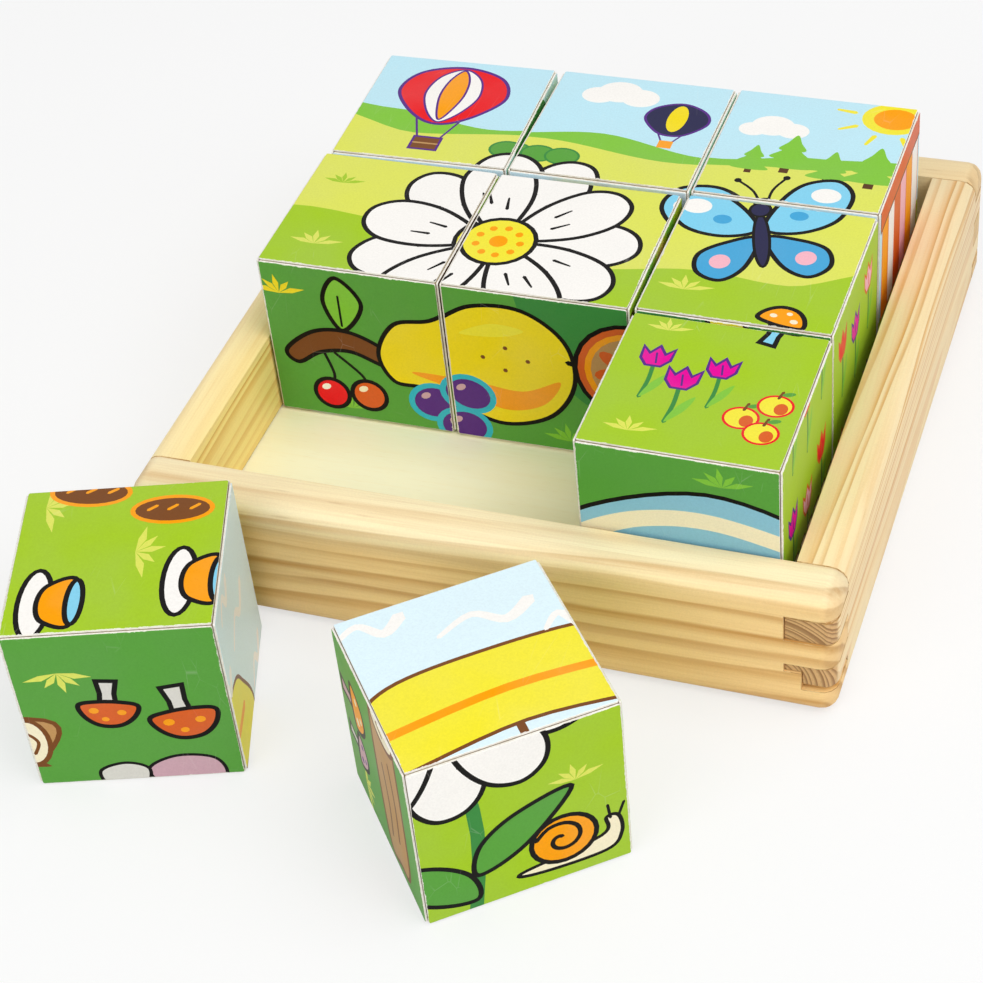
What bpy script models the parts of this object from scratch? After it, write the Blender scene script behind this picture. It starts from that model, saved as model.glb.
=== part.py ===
"""Picture-cube puzzle: nine wooden cubes with a printed paper sheet on every face, and their pine tray.

Seven cubes stand in the tray in three columns and three rows. Its two front left places are empty,
and the two cubes that belong there stand on the table in front of it. Units are metres, +Z is up,
and z = 0 is the table. The origin is under the middle of the whole arrangement's box.
"""

from math import cos, pi, radians, sin

import bmesh
import bpy
from mathutils import Matrix, Vector

# Cubes
CUBE_SIDE = 0.0406  # over the paper
PAPER_THICKNESS = 0.00045
GLUE_LINE = 0.00005  # between paper and wood
CORE_ROUNDING = 0.0006
CORE_ROUNDING_STEPS = 2
FOLD_RADIUS = 0.0006  # of the paper's middle, where one sheet turns round an edge
FOLD_STEPS = 4

# Tray
CUBES_ACROSS = 3
SLACK_ACROSS = 0.0042  # room left beside three cubes
SLACK_DEEP = 0.0072
RAIL_THICKNESS = 0.0100
RAIL_ROUNDING = 0.0035
RAIL_ROUNDING_STEPS = 4

# Corner joints: from the table up, the fingers belong in turn to the front and back rails and to the
# side rails. Four are alike, and the front and back rails have the fifth, at the top.
FINGER_HEIGHT = 0.00625
TOP_FINGER_HEIGHT = 0.0050
FINGER_GAP = 0.00010
LOWER_FINGER_PLAY = 0.0012  # under the lower finger of a side rail
UPPER_FINGER_PLAY = 0.0004  # over its upper finger
FINGER_END_RECESS = 0.0004

# Base panel, held in a groove round the inside
PANEL_THICKNESS = 0.0040
GROOVE_DEPTH = 0.0034
GROOVE_CLEARANCE = 0.00015  # over and under the panel
PANEL_EDGE_CLEARANCE = 0.0002
CUBE_SEAT_GAP = 0.00025  # between the panel and the paper under a cube

# Where each cube of the tray lies: name, column, row, then the share of the slack on its left and in
# front of it, and the share of the turn that the slack lets it make
TRAY_CUBES = (
    ("back_left", 0, 2, 0.159, 0.228, 0.237),
    ("back_middle", 1, 2, 0.371, 0.306, -0.045),
    ("back_right", 2, 2, 0.467, 0.308, -0.049),
    ("middle_left", 0, 1, 0.085, 0.111, 0.048),
    ("centre", 1, 1, 0.155, 0.114, 0.045),
    ("middle_right", 2, 1, 0.399, 0.190, -0.057),
    ("front_right", 2, 0, 0.380, 0.091, -0.045),
)

# The two cubes on the table: their turns, and their distances from the tray and from each other
LEFT_CUBE_TURN = radians(18.9)
LEFT_CUBE_OVERHANG = 0.0112  # past the outside of the left rail
LEFT_CUBE_STANDOFF = 0.0036  # from the front rail to the nearest corner
RIGHT_CUBE_TURN = radians(39.5)
RIGHT_CUBE_STANDOFF = 0.0110
CUBE_SPACING = 0.0211  # between the boxes round the two cubes

CUT_OVERSHOOT = 0.0010  # how far a cutter runs past what it cuts

# Worked out from the above. The tray's own frame has its zero at the inside corner, front left.
INNER_WIDTH = CUBES_ACROSS * CUBE_SIDE + SLACK_ACROSS
INNER_DEPTH = CUBES_ACROSS * CUBE_SIDE + SLACK_DEEP
HALF_CUBE = CUBE_SIDE / 2
PAPER_STACK = PAPER_THICKNESS + GLUE_LINE
HALF_CORE = HALF_CUBE - PAPER_STACK
PAPER_MIDDLE = HALF_CUBE - PAPER_THICKNESS / 2
FINGER_LEVELS = [FINGER_HEIGHT * step for step in range(5)]
RAIL_HEIGHT = FINGER_LEVELS[-1] + TOP_FINGER_HEIGHT
GROOVE_BOTTOM = FINGER_LEVELS[1]
GROOVE_TOP = GROOVE_BOTTOM + PANEL_THICKNESS + 2 * GROOVE_CLEARANCE
PANEL_BOTTOM = GROOVE_BOTTOM + GROOVE_CLEARANCE
PANEL_TOP = PANEL_BOTTOM + PANEL_THICKNESS
CUBE_SEAT = PANEL_TOP + CUBE_SEAT_GAP


def reach(turn):
    """How far a cube turned by this angle reaches from its middle, along X or Y."""
    return max(
        HALF_CUBE * cos(turn) + HALF_CORE * sin(turn),
        HALF_CORE * cos(turn) + HALF_CUBE * sin(turn),
    )


def loose_cubes():
    """Name, x, y and turn of the two cubes on the table, in the tray's frame."""
    left_reach, right_reach = reach(LEFT_CUBE_TURN), reach(RIGHT_CUBE_TURN)
    left_x = -RAIL_THICKNESS - LEFT_CUBE_OVERHANG + left_reach
    left_y = -RAIL_THICKNESS - LEFT_CUBE_STANDOFF - left_reach
    right_x = left_x + left_reach + CUBE_SPACING + right_reach
    right_y = -RAIL_THICKNESS - RIGHT_CUBE_STANDOFF - right_reach
    return (
        ("loose_left", left_x, left_y, LEFT_CUBE_TURN),
        ("loose_front", right_x, right_y, RIGHT_CUBE_TURN),
    )


def arrangement_middle():
    """The middle, in plan, of the box round the tray and the loose cubes."""
    low_x, low_y = -RAIL_THICKNESS, -RAIL_THICKNESS
    high_x = INNER_WIDTH + RAIL_THICKNESS
    high_y = INNER_DEPTH + RAIL_THICKNESS
    for _, x, y, turn in loose_cubes():
        low_x, high_x = min(low_x, x - reach(turn)), max(high_x, x + reach(turn))
        low_y, high_y = min(low_y, y - reach(turn)), max(high_y, y + reach(turn))
    return Vector(((low_x + high_x) / 2, (low_y + high_y) / 2, 0))


# Colours


def linear(hex_colour):
    """An sRGB hex colour as linear RGBA."""
    channels = [int(hex_colour[place : place + 2], 16) / 255 for place in (0, 2, 4)]
    return [c / 12.92 if c <= 0.04045 else ((c + 0.055) / 1.055) ** 2.4 for c in channels] + [1]


def make_material(name, hex_colour, roughness, metallic=0.0):
    material = bpy.data.materials.new(name)
    material.use_nodes = True
    shader = material.node_tree.nodes["Principled BSDF"]
    shader.inputs["Base Color"].default_value = linear(hex_colour)
    shader.inputs["Roughness"].default_value = roughness
    shader.inputs["Metallic"].default_value = metallic
    material.diffuse_color = linear(hex_colour)
    return material


# Objects


def new_collection(name):
    collection = bpy.data.collections.new(name)
    bpy.context.scene.collection.children.link(collection)
    return collection


def object_from(name, mesh_builder, collection, material=None):
    """A new object with the mesh in this bmesh, which is freed."""
    mesh = bpy.data.meshes.new(name)
    mesh_builder.to_mesh(mesh)
    mesh_builder.free()
    made = bpy.data.objects.new(name, mesh)
    collection.objects.link(made)
    if material:
        mesh.materials.append(material)
    return made


def box(name, low, high, collection, material=None):
    """A box between two corners, in the frame of its parent."""
    low, high = Vector(low), Vector(high)
    builder = bmesh.new()
    bmesh.ops.create_cube(builder, size=1)
    bmesh.ops.scale(builder, vec=high - low, verts=builder.verts)
    bmesh.ops.translate(builder, vec=(low + high) / 2, verts=builder.verts)
    return object_from(name, builder, collection, material)


def round_edges(target, radius, steps):
    bevel = target.modifiers.new("Rounding", "BEVEL")
    bevel.width = radius
    bevel.segments = steps
    bevel.limit_method = "ANGLE"
    return bevel


def boolean(target, other, operation):
    modifier = target.modifiers.new(f"{operation.title()} {other.name}", "BOOLEAN")
    modifier.operation = operation
    modifier.solver = "EXACT"
    modifier.object = other


class Workshop:
    """The collections, the tray's frame and the materials that every piece shares."""

    def __init__(self):
        self.parts = new_collection("picture_cube_puzzle")
        self.cutters = new_collection("cutters")
        self.cutters.hide_render = True
        self.frame = bpy.data.objects.new("tray_frame", None)
        self.frame.location = -arrangement_middle()
        self.parts.objects.link(self.frame)
        self.pine = make_material("planed_pine", "EED9A4", 0.50)
        self.panel = make_material("base_panel_board", "EFE4B4", 0.62)
        self.core_wood = make_material("cube_core_wood", "D9BC86", 0.65)

    def helper(self, name, low, high):
        """A box that shapes another piece and isn't one itself."""
        made = box(name, low, high, self.cutters)
        made.parent = self.frame
        made.hide_render = True
        made.display_type = "WIRE"
        return made

    def cut(self, target, name, low, high):
        boolean(target, self.helper(f"{target.name}_{name}", low, high), "DIFFERENCE")


# Tray


def make_rail(shop, name, low, high, outline):
    """One rail's blank, with the rounding of the finished tray's outside."""
    rail = box(name, low, high, shop.parts, shop.pine)
    rail.parent = shop.frame
    boolean(rail, outline, "INTERSECT")
    return rail


def make_front_or_back_rail(shop, name, at_front, outline):
    """A rail that runs the full width. Its three fingers reach round the ends of the side rails."""
    outside = -RAIL_THICKNESS if at_front else INNER_DEPTH + RAIL_THICKNESS
    inside = 0 if at_front else INNER_DEPTH
    away = -1 if at_front else 1  # outwards from the tray
    low_y, high_y = sorted((outside, inside))
    past = CUT_OVERSHOOT
    rail = make_rail(
        shop,
        name,
        (-RAIL_THICKNESS, low_y, 0),
        (INNER_WIDTH + RAIL_THICKNESS, high_y, RAIL_HEIGHT),
        outline,
    )
    # The groove for the panel stops where the side rails' grooves do.
    groove_y = sorted((inside - away * past, inside + away * GROOVE_DEPTH))
    shop.cut(
        rail,
        "groove",
        (-GROOVE_DEPTH, groove_y[0], GROOVE_BOTTOM),
        (INNER_WIDTH + GROOVE_DEPTH, groove_y[1], GROOVE_TOP),
    )
    _, lower, upper, third, fourth = FINGER_LEVELS
    far = RAIL_THICKNESS + past
    # Each slot: name, how deep it starts past the inner wall, bottom and top. The lower one is
    # stepped, because the side rail's groove runs out through that finger.
    slots = (
        ("lower_slot", GROOVE_DEPTH - FINGER_GAP, lower, upper),
        ("lower_slot_step", -FINGER_GAP, GROOVE_TOP - FINGER_GAP, upper),
        ("upper_slot", -FINGER_GAP, third, fourth),
    )
    for slot, start, bottom, top in slots:
        left = sorted((-start, -far))
        right = sorted((INNER_WIDTH + start, INNER_WIDTH + far))
        for side, (low_x, high_x) in (("left", left), ("right", right)):
            shop.cut(
                rail,
                f"{slot}_{side}",
                (low_x, low_y - past, bottom),
                (high_x, high_y + past, top),
            )
    return rail


def make_side_rail(shop, name, at_left, outline):
    """A rail between the front and back ones. Two fingers at each end reach into their slots."""
    low_x = -RAIL_THICKNESS if at_left else INNER_WIDTH
    high_x = low_x + RAIL_THICKNESS
    inside = 0 if at_left else INNER_WIDTH
    away = -1 if at_left else 1
    past = CUT_OVERSHOOT
    end = RAIL_THICKNESS - FINGER_END_RECESS
    rail = make_rail(
        shop,
        name,
        (low_x, -end, 0),
        (high_x, INNER_DEPTH + end, RAIL_HEIGHT),
        outline,
    )
    groove_x = sorted((inside - away * past, inside + away * GROOVE_DEPTH))
    shop.cut(
        rail,
        "groove",
        (groove_x[0], -RAIL_THICKNESS - past, GROOVE_BOTTOM),
        (groove_x[1], INNER_DEPTH + RAIL_THICKNESS + past, GROOVE_TOP),
    )
    _, lower, upper, third, fourth = FINGER_LEVELS
    notches = (
        ("bottom_notch", -past, lower + LOWER_FINGER_PLAY),
        ("middle_notch", upper - FINGER_GAP, third + FINGER_GAP),
        ("top_notch", fourth - UPPER_FINGER_PLAY, RAIL_HEIGHT + past),
    )
    front = (-RAIL_THICKNESS - past, FINGER_GAP)
    back = (INNER_DEPTH - FINGER_GAP, INNER_DEPTH + RAIL_THICKNESS + past)
    for notch, bottom, top in notches:
        for place, (low_y, high_y) in (("front", front), ("back", back)):
            shop.cut(
                rail,
                f"{notch}_{place}",
                (low_x - past, low_y, bottom),
                (high_x + past, high_y, top),
            )
    return rail


def make_tray(shop):
    outline = shop.helper(
        "tray_outline",
        (-RAIL_THICKNESS, -RAIL_THICKNESS, 0),
        (INNER_WIDTH + RAIL_THICKNESS, INNER_DEPTH + RAIL_THICKNESS, RAIL_HEIGHT),
    )
    round_edges(outline, RAIL_ROUNDING, RAIL_ROUNDING_STEPS)
    make_front_or_back_rail(shop, "front_rail", True, outline)
    make_front_or_back_rail(shop, "back_rail", False, outline)
    make_side_rail(shop, "left_rail", True, outline)
    make_side_rail(shop, "right_rail", False, outline)
    tongue = GROOVE_DEPTH - PANEL_EDGE_CLEARANCE
    panel = box(
        "base_panel",
        (-tongue, -tongue, PANEL_BOTTOM),
        (INNER_WIDTH + tongue, INNER_DEPTH + tongue, PANEL_TOP),
        shop.parts,
        shop.panel,
    )
    panel.parent = shop.frame


# Cubes. Each is built about the middle of its own box and stands on an empty under that middle, on
# the line along which it is lifted.

FLAT_SHEETS = {
    "top": Matrix.Identity(4),
    "front": Matrix.Rotation(pi / 2, 4, "X"),
    "left": Matrix.Rotation(-pi / 2, 4, "Y"),
    "right": Matrix.Rotation(pi / 2, 4, "Y"),
}

SHEET_COLOURS = {
    "top": "A8D133",
    "front": "5FA544",
    "left": "BFE6F2",
    "right": "F2D62E",
    "wrap": "F29A2E",
}
SKY_COLOUR = "BFE6F2"  # of the sheets on top of the back row


def thicken(sheet):
    solidify = sheet.modifiers.new("Paper", "SOLIDIFY")
    solidify.thickness = PAPER_THICKNESS
    solidify.offset = 0


def make_flat_sheet(shop, name, turn, material):
    """A square sheet on one face: as wide as the wood, so its edges show at the cube's edges."""
    builder = bmesh.new()
    bmesh.ops.create_grid(builder, x_segments=1, y_segments=1, size=HALF_CORE)
    bmesh.ops.translate(builder, vec=(0, 0, PAPER_MIDDLE), verts=builder.verts)
    bmesh.ops.transform(builder, matrix=turn, verts=builder.verts)
    sheet = object_from(name, builder, shop.parts, material)
    thicken(sheet)
    return sheet


def make_wrap_sheet(shop, name, material):
    """One sheet over the bottom and the back, folded round the edge between them."""
    bend = PAPER_MIDDLE - FOLD_RADIUS
    profile = [(-HALF_CORE, -PAPER_MIDDLE)]
    for step in range(FOLD_STEPS + 1):
        angle = -pi / 2 + pi / 2 * step / FOLD_STEPS
        profile.append((bend + FOLD_RADIUS * cos(angle), -bend + FOLD_RADIUS * sin(angle)))
    profile.append((PAPER_MIDDLE, HALF_CORE))
    builder = bmesh.new()
    left = [builder.verts.new((-HALF_CORE, y, z)) for y, z in profile]
    strip = [builder.edges.new(pair) for pair in zip(left, left[1:])]
    swept = bmesh.ops.extrude_edge_only(builder, edges=strip)
    moved = [item for item in swept["geom"] if isinstance(item, bmesh.types.BMVert)]
    bmesh.ops.translate(builder, vec=(2 * HALF_CORE, 0, 0), verts=moved)
    sheet = object_from(name, builder, shop.parts, material)
    thicken(sheet)
    return sheet


def make_core(shop, name):
    half = (HALF_CORE, HALF_CORE, HALF_CORE)
    core = box(name, [-value for value in half], half, shop.parts, shop.core_wood)
    round_edges(core, CORE_ROUNDING, CORE_ROUNDING_STEPS)
    return core


def make_cube(shop, place, x, y, seat, turn, top_colour):
    """The wooden core of one cube and its printed sheets, at this place and turn."""
    stand = bpy.data.objects.new(f"{place}_cube_stand", None)
    stand.location = (x, y, seat)
    stand.rotation_euler = (0, 0, turn)
    stand.parent = shop.frame
    shop.parts.objects.link(stand)
    pieces = [make_core(shop, f"{place}_cube_core")]
    for face, sheet_turn in FLAT_SHEETS.items():
        colour = top_colour if face == "top" else SHEET_COLOURS[face]
        material = make_material(f"{place}_{face}_printed_paper", colour, 0.38)
        name = f"{place}_cube_{face}_sheet"
        pieces.append(make_flat_sheet(shop, name, sheet_turn, material))
    material = make_material(f"{place}_wrap_printed_paper", SHEET_COLOURS["wrap"], 0.38)
    pieces.append(make_wrap_sheet(shop, f"{place}_cube_wrap_sheet", material))
    for piece in pieces:
        piece.parent = stand
        piece.location = (0, 0, HALF_CUBE)


def make_cubes(shop):
    full_turn = SLACK_ACROSS / CUBE_SIDE  # about what the slack lets one cube turn
    for place, column, row, left_share, front_share, turn_share in TRAY_CUBES:
        x = HALF_CUBE + column * CUBE_SIDE + left_share * SLACK_ACROSS
        y = HALF_CUBE + row * CUBE_SIDE + front_share * SLACK_DEEP
        top_colour = SKY_COLOUR if row == CUBES_ACROSS - 1 else SHEET_COLOURS["top"]
        make_cube(shop, place, x, y, CUBE_SEAT, turn_share * full_turn, top_colour)
    for place, x, y, turn in loose_cubes():
        make_cube(shop, place, x, y, 0, turn, SHEET_COLOURS["top"])


def main():
    for old in list(bpy.data.objects):
        bpy.data.objects.remove(old)
    shop = Workshop()
    make_tray(shop)
    make_cubes(shop)


main()
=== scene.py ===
# Picture-cube puzzle: nine wooden cubes with a printed sheet on every face, and their pine tray.
# The frame holds every piece at its real size and place. This script gives them their looks.
import random
from math import cos, pi, radians, sin

import bmesh
import bpy
from mathutils import Matrix, Vector, geometry


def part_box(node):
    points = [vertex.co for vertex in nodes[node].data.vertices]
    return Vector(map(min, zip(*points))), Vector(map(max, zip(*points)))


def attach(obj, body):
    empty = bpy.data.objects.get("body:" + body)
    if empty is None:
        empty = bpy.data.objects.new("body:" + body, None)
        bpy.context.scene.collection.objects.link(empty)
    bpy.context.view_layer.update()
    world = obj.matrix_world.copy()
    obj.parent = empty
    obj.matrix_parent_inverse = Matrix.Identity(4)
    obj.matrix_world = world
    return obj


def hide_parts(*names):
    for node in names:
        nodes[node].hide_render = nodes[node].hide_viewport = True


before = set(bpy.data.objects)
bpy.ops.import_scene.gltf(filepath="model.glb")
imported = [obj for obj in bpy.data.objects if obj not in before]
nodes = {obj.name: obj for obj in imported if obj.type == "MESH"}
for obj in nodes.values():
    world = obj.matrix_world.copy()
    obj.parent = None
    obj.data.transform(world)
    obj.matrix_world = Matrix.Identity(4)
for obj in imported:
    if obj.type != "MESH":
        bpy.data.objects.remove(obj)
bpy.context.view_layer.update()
mm = 0.001
print("frame loaded:", len(nodes), "nodes")


# Small helpers

def linear(hexColour):
    # an sRGB hex colour as linear RGBA
    channels = [int(hexColour[place:place + 2], 16) / 255 for place in (0, 2, 4)]
    return [c / 12.92 if c <= 0.04045 else ((c + 0.055) / 1.055) ** 2.4 for c in channels] + [1]


def join(tree, node, inputs):
    # a link or a value for each of these inputs, in their order or by name
    named = isinstance(inputs, dict)
    sockets = node.inputs if named else [socket for socket in node.inputs if socket.enabled]
    for key, value in inputs.items() if named else enumerate(inputs):
        if isinstance(value, bpy.types.Node):
            value = next(socket for socket in value.outputs if socket.enabled)
        if isinstance(value, bpy.types.NodeSocket):
            tree.links.new(value, sockets[key])
        else:
            sockets[key].default_value = value


def addNode(tree, kind, inputs=(), **settings):
    # one node with its settings and links; a kind without a prefix is a shader node
    node = tree.nodes.new(kind if "Node" in kind else "ShaderNode" + kind)
    for name, value in settings.items():
        setattr(node, name, value)
    join(tree, node, inputs)
    return node


def newMaterial(name, finish):
    # a material with its shader, and the finish's values on the shader's own sockets
    material = bpy.data.materials.new(name)
    material.use_nodes = True
    tree = material.node_tree
    shader = tree.nodes["Principled BSDF"]
    join(tree, shader, finish)
    return material, tree, shader


# Camera: where the photograph was taken from, in the frame's metres

photoCamera = {
    "place": (0.14881, -0.35822, 0.34962),
    "turn": (48.39940, 4.94493, 18.85639),  # degrees about X, Y and Z
    "lens": 89.682,  # mm, on a 36 mm sensor
    "sensor": 36.0,
    "nearest": 0.01,  # metres: nothing nearer to the lens is drawn
}


def makeCamera(values):
    data = bpy.data.cameras.new("photoCamera")
    data.lens = values["lens"]
    data.sensor_width = values["sensor"]
    data.clip_start = values["nearest"]
    camera = bpy.data.objects.new("photoCamera", data)
    camera.location = values["place"]
    camera.rotation_euler = [radians(angle) for angle in values["turn"]]
    bpy.context.scene.collection.objects.link(camera)
    bpy.context.scene.camera = camera


# Stage: a white table top, a white room and three soft lamps

stage = {
    "floorWidth": 8.0,
    "floorDrop": 0.0001,  # below the cubes, so that the faces don't meet
    "floorWhite": "F0F0F0",
    "shadowKept": 0.38,  # of the shadow on the floor, in the camera's view
    "roomLevel": 0.46,
    "lamps": (
        # name, place, width, power in watts
        ("overheadSoftbox", (0.50, -0.10, 1.15), 1.1, 7.2),
        ("frontSoftbox", (-0.40, -1.10, 0.85), 0.9, 5.7),
        ("sideSoftbox", (1.15, -0.55, 1.15), 0.9, 4.9),
    ),
}


def makeStage(values):
    scene = bpy.context.scene
    scene.view_settings.view_transform = "Standard"
    world = bpy.data.worlds.new("whiteRoom")
    world.use_nodes = True
    scene.world = world
    tree = world.node_tree
    # the camera, reflections and refractions see plain white
    path = addNode(tree, "LightPath").outputs
    seen = addNode(tree, "Math", (path["Is Camera Ray"], path["Is Glossy Ray"]), operation="MAXIMUM")
    seen = addNode(tree, "Math", (seen, path["Is Transmission Ray"]), operation="MAXIMUM")
    level = addNode(tree, "MapRange", (seen, 0, 1, values["roomLevel"], 1))
    join(tree, tree.nodes["Background"], {"Color": (1, 1, 1, 1), "Strength": level})

    builder = bmesh.new()
    bmesh.ops.create_grid(builder, x_segments=1, y_segments=1, size=values["floorWidth"] / 2)
    bmesh.ops.translate(builder, vec=(0, 0, -values["floorDrop"]), verts=builder.verts)
    mesh = bpy.data.meshes.new("floor")
    builder.to_mesh(mesh)
    builder.free()
    floor = bpy.data.objects.new("floor", mesh)
    scene.collection.objects.link(floor)
    # matt paper sweep: white, and it takes the soft shadow
    material, tree, shader = newMaterial("mattWhiteSweep", {
        "Base Color": linear(values["floorWhite"]), "Roughness": 0.9, "Specular IOR Level": 0.1})
    white = addNode(tree, "Emission", {"Color": (1, 1, 1, 1), "Strength": 1})
    path = addNode(tree, "LightPath").outputs
    share = addNode(tree, "Math", (path["Is Camera Ray"], 1 - values["shadowKept"]), operation="MULTIPLY")
    surface = addNode(tree, "MixShader", (share, shader, white))
    join(tree, tree.nodes["Material Output"], {"Surface": surface})
    mesh.materials.append(material)

    for name, place, width, power in values["lamps"]:
        lamp = bpy.data.lights.new(name, "AREA")
        lamp.size = width
        lamp.energy = power
        holder = bpy.data.objects.new(name, lamp)
        holder.location = place
        holder.rotation_euler = (-Vector(place)).to_track_quat("-Z", "Y").to_euler()
        scene.collection.objects.link(holder)


# Wood

# How each rail was cut from its log: which way it runs, and where the middle of the log lies from the
# middle of the rail (mm, across and up). Its rings are this far apart and wander by this much, its
# heartwood reaches this far out (mm), fine lines show this much, and its end grain is this much darker.
railCuts = {
    "front_rail": {"along": "x", "pith": (-17, -22), "ring": 3.9, "wander": 2.0, "heart": 37, "seed": 3.0,
                   "sap": "FEF3CC", "heartwood": "FBD594", "late": "C88C3A", "bands": (0.3, 1.0),
                   "fine": 0.26, "end": 0.25},
    "back_rail": {"along": "x", "pith": (24, -16), "ring": 2.6, "wander": 2.0, "heart": 24, "seed": 11.0,
                  "sap": "EFD8A8", "heartwood": "E3BF82", "late": "CB985A", "bands": (0.2, 0.8),
                  "fine": 0.16, "end": 0.35},
    "left_rail": {"along": "y", "pith": (20, -40), "ring": 3.3, "wander": 1.4, "heart": 59, "seed": 26.0,
                  "sap": "FEF2CA", "heartwood": "FFE896", "late": "D9981A", "bands": (0.25, 0.9),
                  "fine": 0.16, "end": 1.0},
    "right_rail": {"along": "y", "pith": (-10, -7), "ring": 0.95, "wander": 0.8, "heart": 60, "seed": 52.0,
                   "sap": "FBECC9", "heartwood": "F5DFAF", "late": "DC9F48", "bands": (0.15, 1.0),
                   "fine": 0.15, "end": 1.0},
}
pineTones = {
    "line": "8E6228",  # the hard edge of a ring
    "resin": "A87333",
    "end": "D8AE78",
    "endLate": "8E6238",
}


def makePine(name, centre, cut):
    # planed pine under a thin satin lacquer: pale sapwood and warmer heartwood, with long amber bands
    # of late wood, fine fibres and brown end grain
    material, tree, shader = newMaterial(name, {
        "IOR": 1.5, "Specular IOR Level": 0.3, "Coat Weight": 0.08, "Coat Roughness": 0.3})
    along = cut["along"] == "x"
    across, up = (value * mm for value in cut["pith"])
    pith = Vector(centre) + (Vector((0, across, up)) if along else Vector((across, 0, up)))
    place = addNode(tree, "TexCoord").outputs["Object"]
    grain = addNode(tree, "Mapping", {
        "Vector": place, "Location": pith,
        "Rotation": (radians(0.4), radians(-0.9), radians(0.8 if along else 90.9))}, vector_type="TEXTURE")

    # the rings wander along the trunk, and no two years are alike
    seeded = addNode(tree, "VectorMath", (grain, (cut["seed"], 0, 0)))
    coarse = addNode(tree, "VectorMath", (seeded, (9, 45, 45)), operation="MULTIPLY")
    wander = addNode(tree, "TexNoise", {"Vector": coarse, "Scale": 1, "Detail": 2}, normalize=False)
    sway = cut["wander"] * mm
    bent = addNode(tree, "VectorMath", (wander.outputs["Color"], (0, sway, sway), grain),
                   operation="MULTIPLY_ADD")
    crossing = addNode(tree, "VectorMath", (bent, (0, 1, 1)), operation="MULTIPLY")
    radius = addNode(tree, "VectorMath", (crossing,), operation="LENGTH")
    rings = addNode(tree, "Math", (radius, cut["ring"] * mm), operation="DIVIDE")
    uneven = addNode(tree, "TexNoise", {"W": rings, "Scale": 0.45, "Detail": 1}, noise_dimensions="1D")
    rings = addNode(tree, "Math", (uneven, 1.9, rings), operation="MULTIPLY_ADD")
    phase = addNode(tree, "Math", (rings,), operation="FRACT")
    year = addNode(tree, "Math", (rings,), operation="FLOOR")
    year = addNode(tree, "Math", (year, cut["seed"]))
    share = addNode(tree, "TexWhiteNoise", {"W": year}, noise_dimensions="1D")

    # noises drawn out along the grain: slow tone, streaks 2.5 mm wide and fibres 0.4 mm wide
    stretched = {}
    for title, scale, detail in (("tone", (10, 60, 60), 2), ("streak", (11, 400, 400), 3),
                                 ("fibre", (25, 2500, 2500), 2)):
        finer = addNode(tree, "VectorMath", (seeded, scale), operation="MULTIPLY")
        stretched[title] = addNode(tree, "TexNoise", {
            "Vector": finer, "Scale": 1, "Detail": detail, "Roughness": 0.6})

    # late wood comes on slowly and ends faster
    rise = addNode(tree, "MapRange", (phase, 0.25, 0.85), interpolation_type="SMOOTHSTEP")
    fall = addNode(tree, "MapRange", (phase, 0.88, 1, 1, 0), interpolation_type="SMOOTHSTEP")
    late = addNode(tree, "Math", (rise, fall), operation="MULTIPLY")
    strength = addNode(tree, "MapRange", (share, 0, 1, *cut["bands"]))
    feather = addNode(tree, "MapRange", (stretched["streak"], 0.3, 0.7, 0.45, 1.15))
    edge = addNode(tree, "MapRange", (phase, 0.76, 0.92))
    edge = addNode(tree, "Math", (edge, fall), operation="MULTIPLY")
    marked = addNode(tree, "MapRange", (share, 0.5, 0.95, 0, 0.3))
    edge = addNode(tree, "Math", (edge, marked), operation="MULTIPLY")

    heart = addNode(tree, "MapRange", (radius, (cut["heart"] - 6) * mm, (cut["heart"] + 3) * mm, 1, 0),
                    interpolation_type="SMOOTHSTEP")
    tone = addNode(tree, "MapRange", (stretched["tone"], 0.35, 0.7, 0, 0.35))
    # the bands are faint in sapwood
    firm = addNode(tree, "MapRange", (heart, 0, 1, 0.35, 1))
    lateness = late
    for factor in (strength, feather, firm):
        lateness = addNode(tree, "Math", (lateness, factor), operation="MULTIPLY", use_clamp=True)
    edge = addNode(tree, "Math", (edge, firm), operation="MULTIPLY")
    heart = addNode(tree, "Math", (heart, tone), use_clamp=True)
    streaks = addNode(tree, "MapRange", (stretched["streak"], 0.5, 0.75, 0, cut["fine"]))
    fibres = addNode(tree, "MapRange", (stretched["fibre"], 0.45, 0.8, 0, 0.17))
    # resin canals: short dark hairlines, 0.2 mm wide, here and there
    finer = addNode(tree, "VectorMath", (seeded, (110, 900, 900)), operation="MULTIPLY")
    canal = addNode(tree, "TexVoronoi", {"Vector": finer, "Scale": 1})
    chosen = addNode(tree, "Math", (canal.outputs["Color"], 0.85), operation="GREATER_THAN")
    canals = addNode(tree, "MapRange", (canal.outputs["Distance"], 0.1, 0.32, 0.18, 0))
    canals = addNode(tree, "Math", (canals, chosen), operation="MULTIPLY")
    colour = linear(cut["sap"])
    for amount, layer in ((heart, cut["heartwood"]), (lateness, cut["late"]), (streaks, cut["late"]),
                          (fibres, cut["late"]), (edge, pineTones["line"]), (canals, pineTones["resin"])):
        colour = addNode(tree, "Mix", (amount, colour, linear(layer)), data_type="RGBA")

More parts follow.
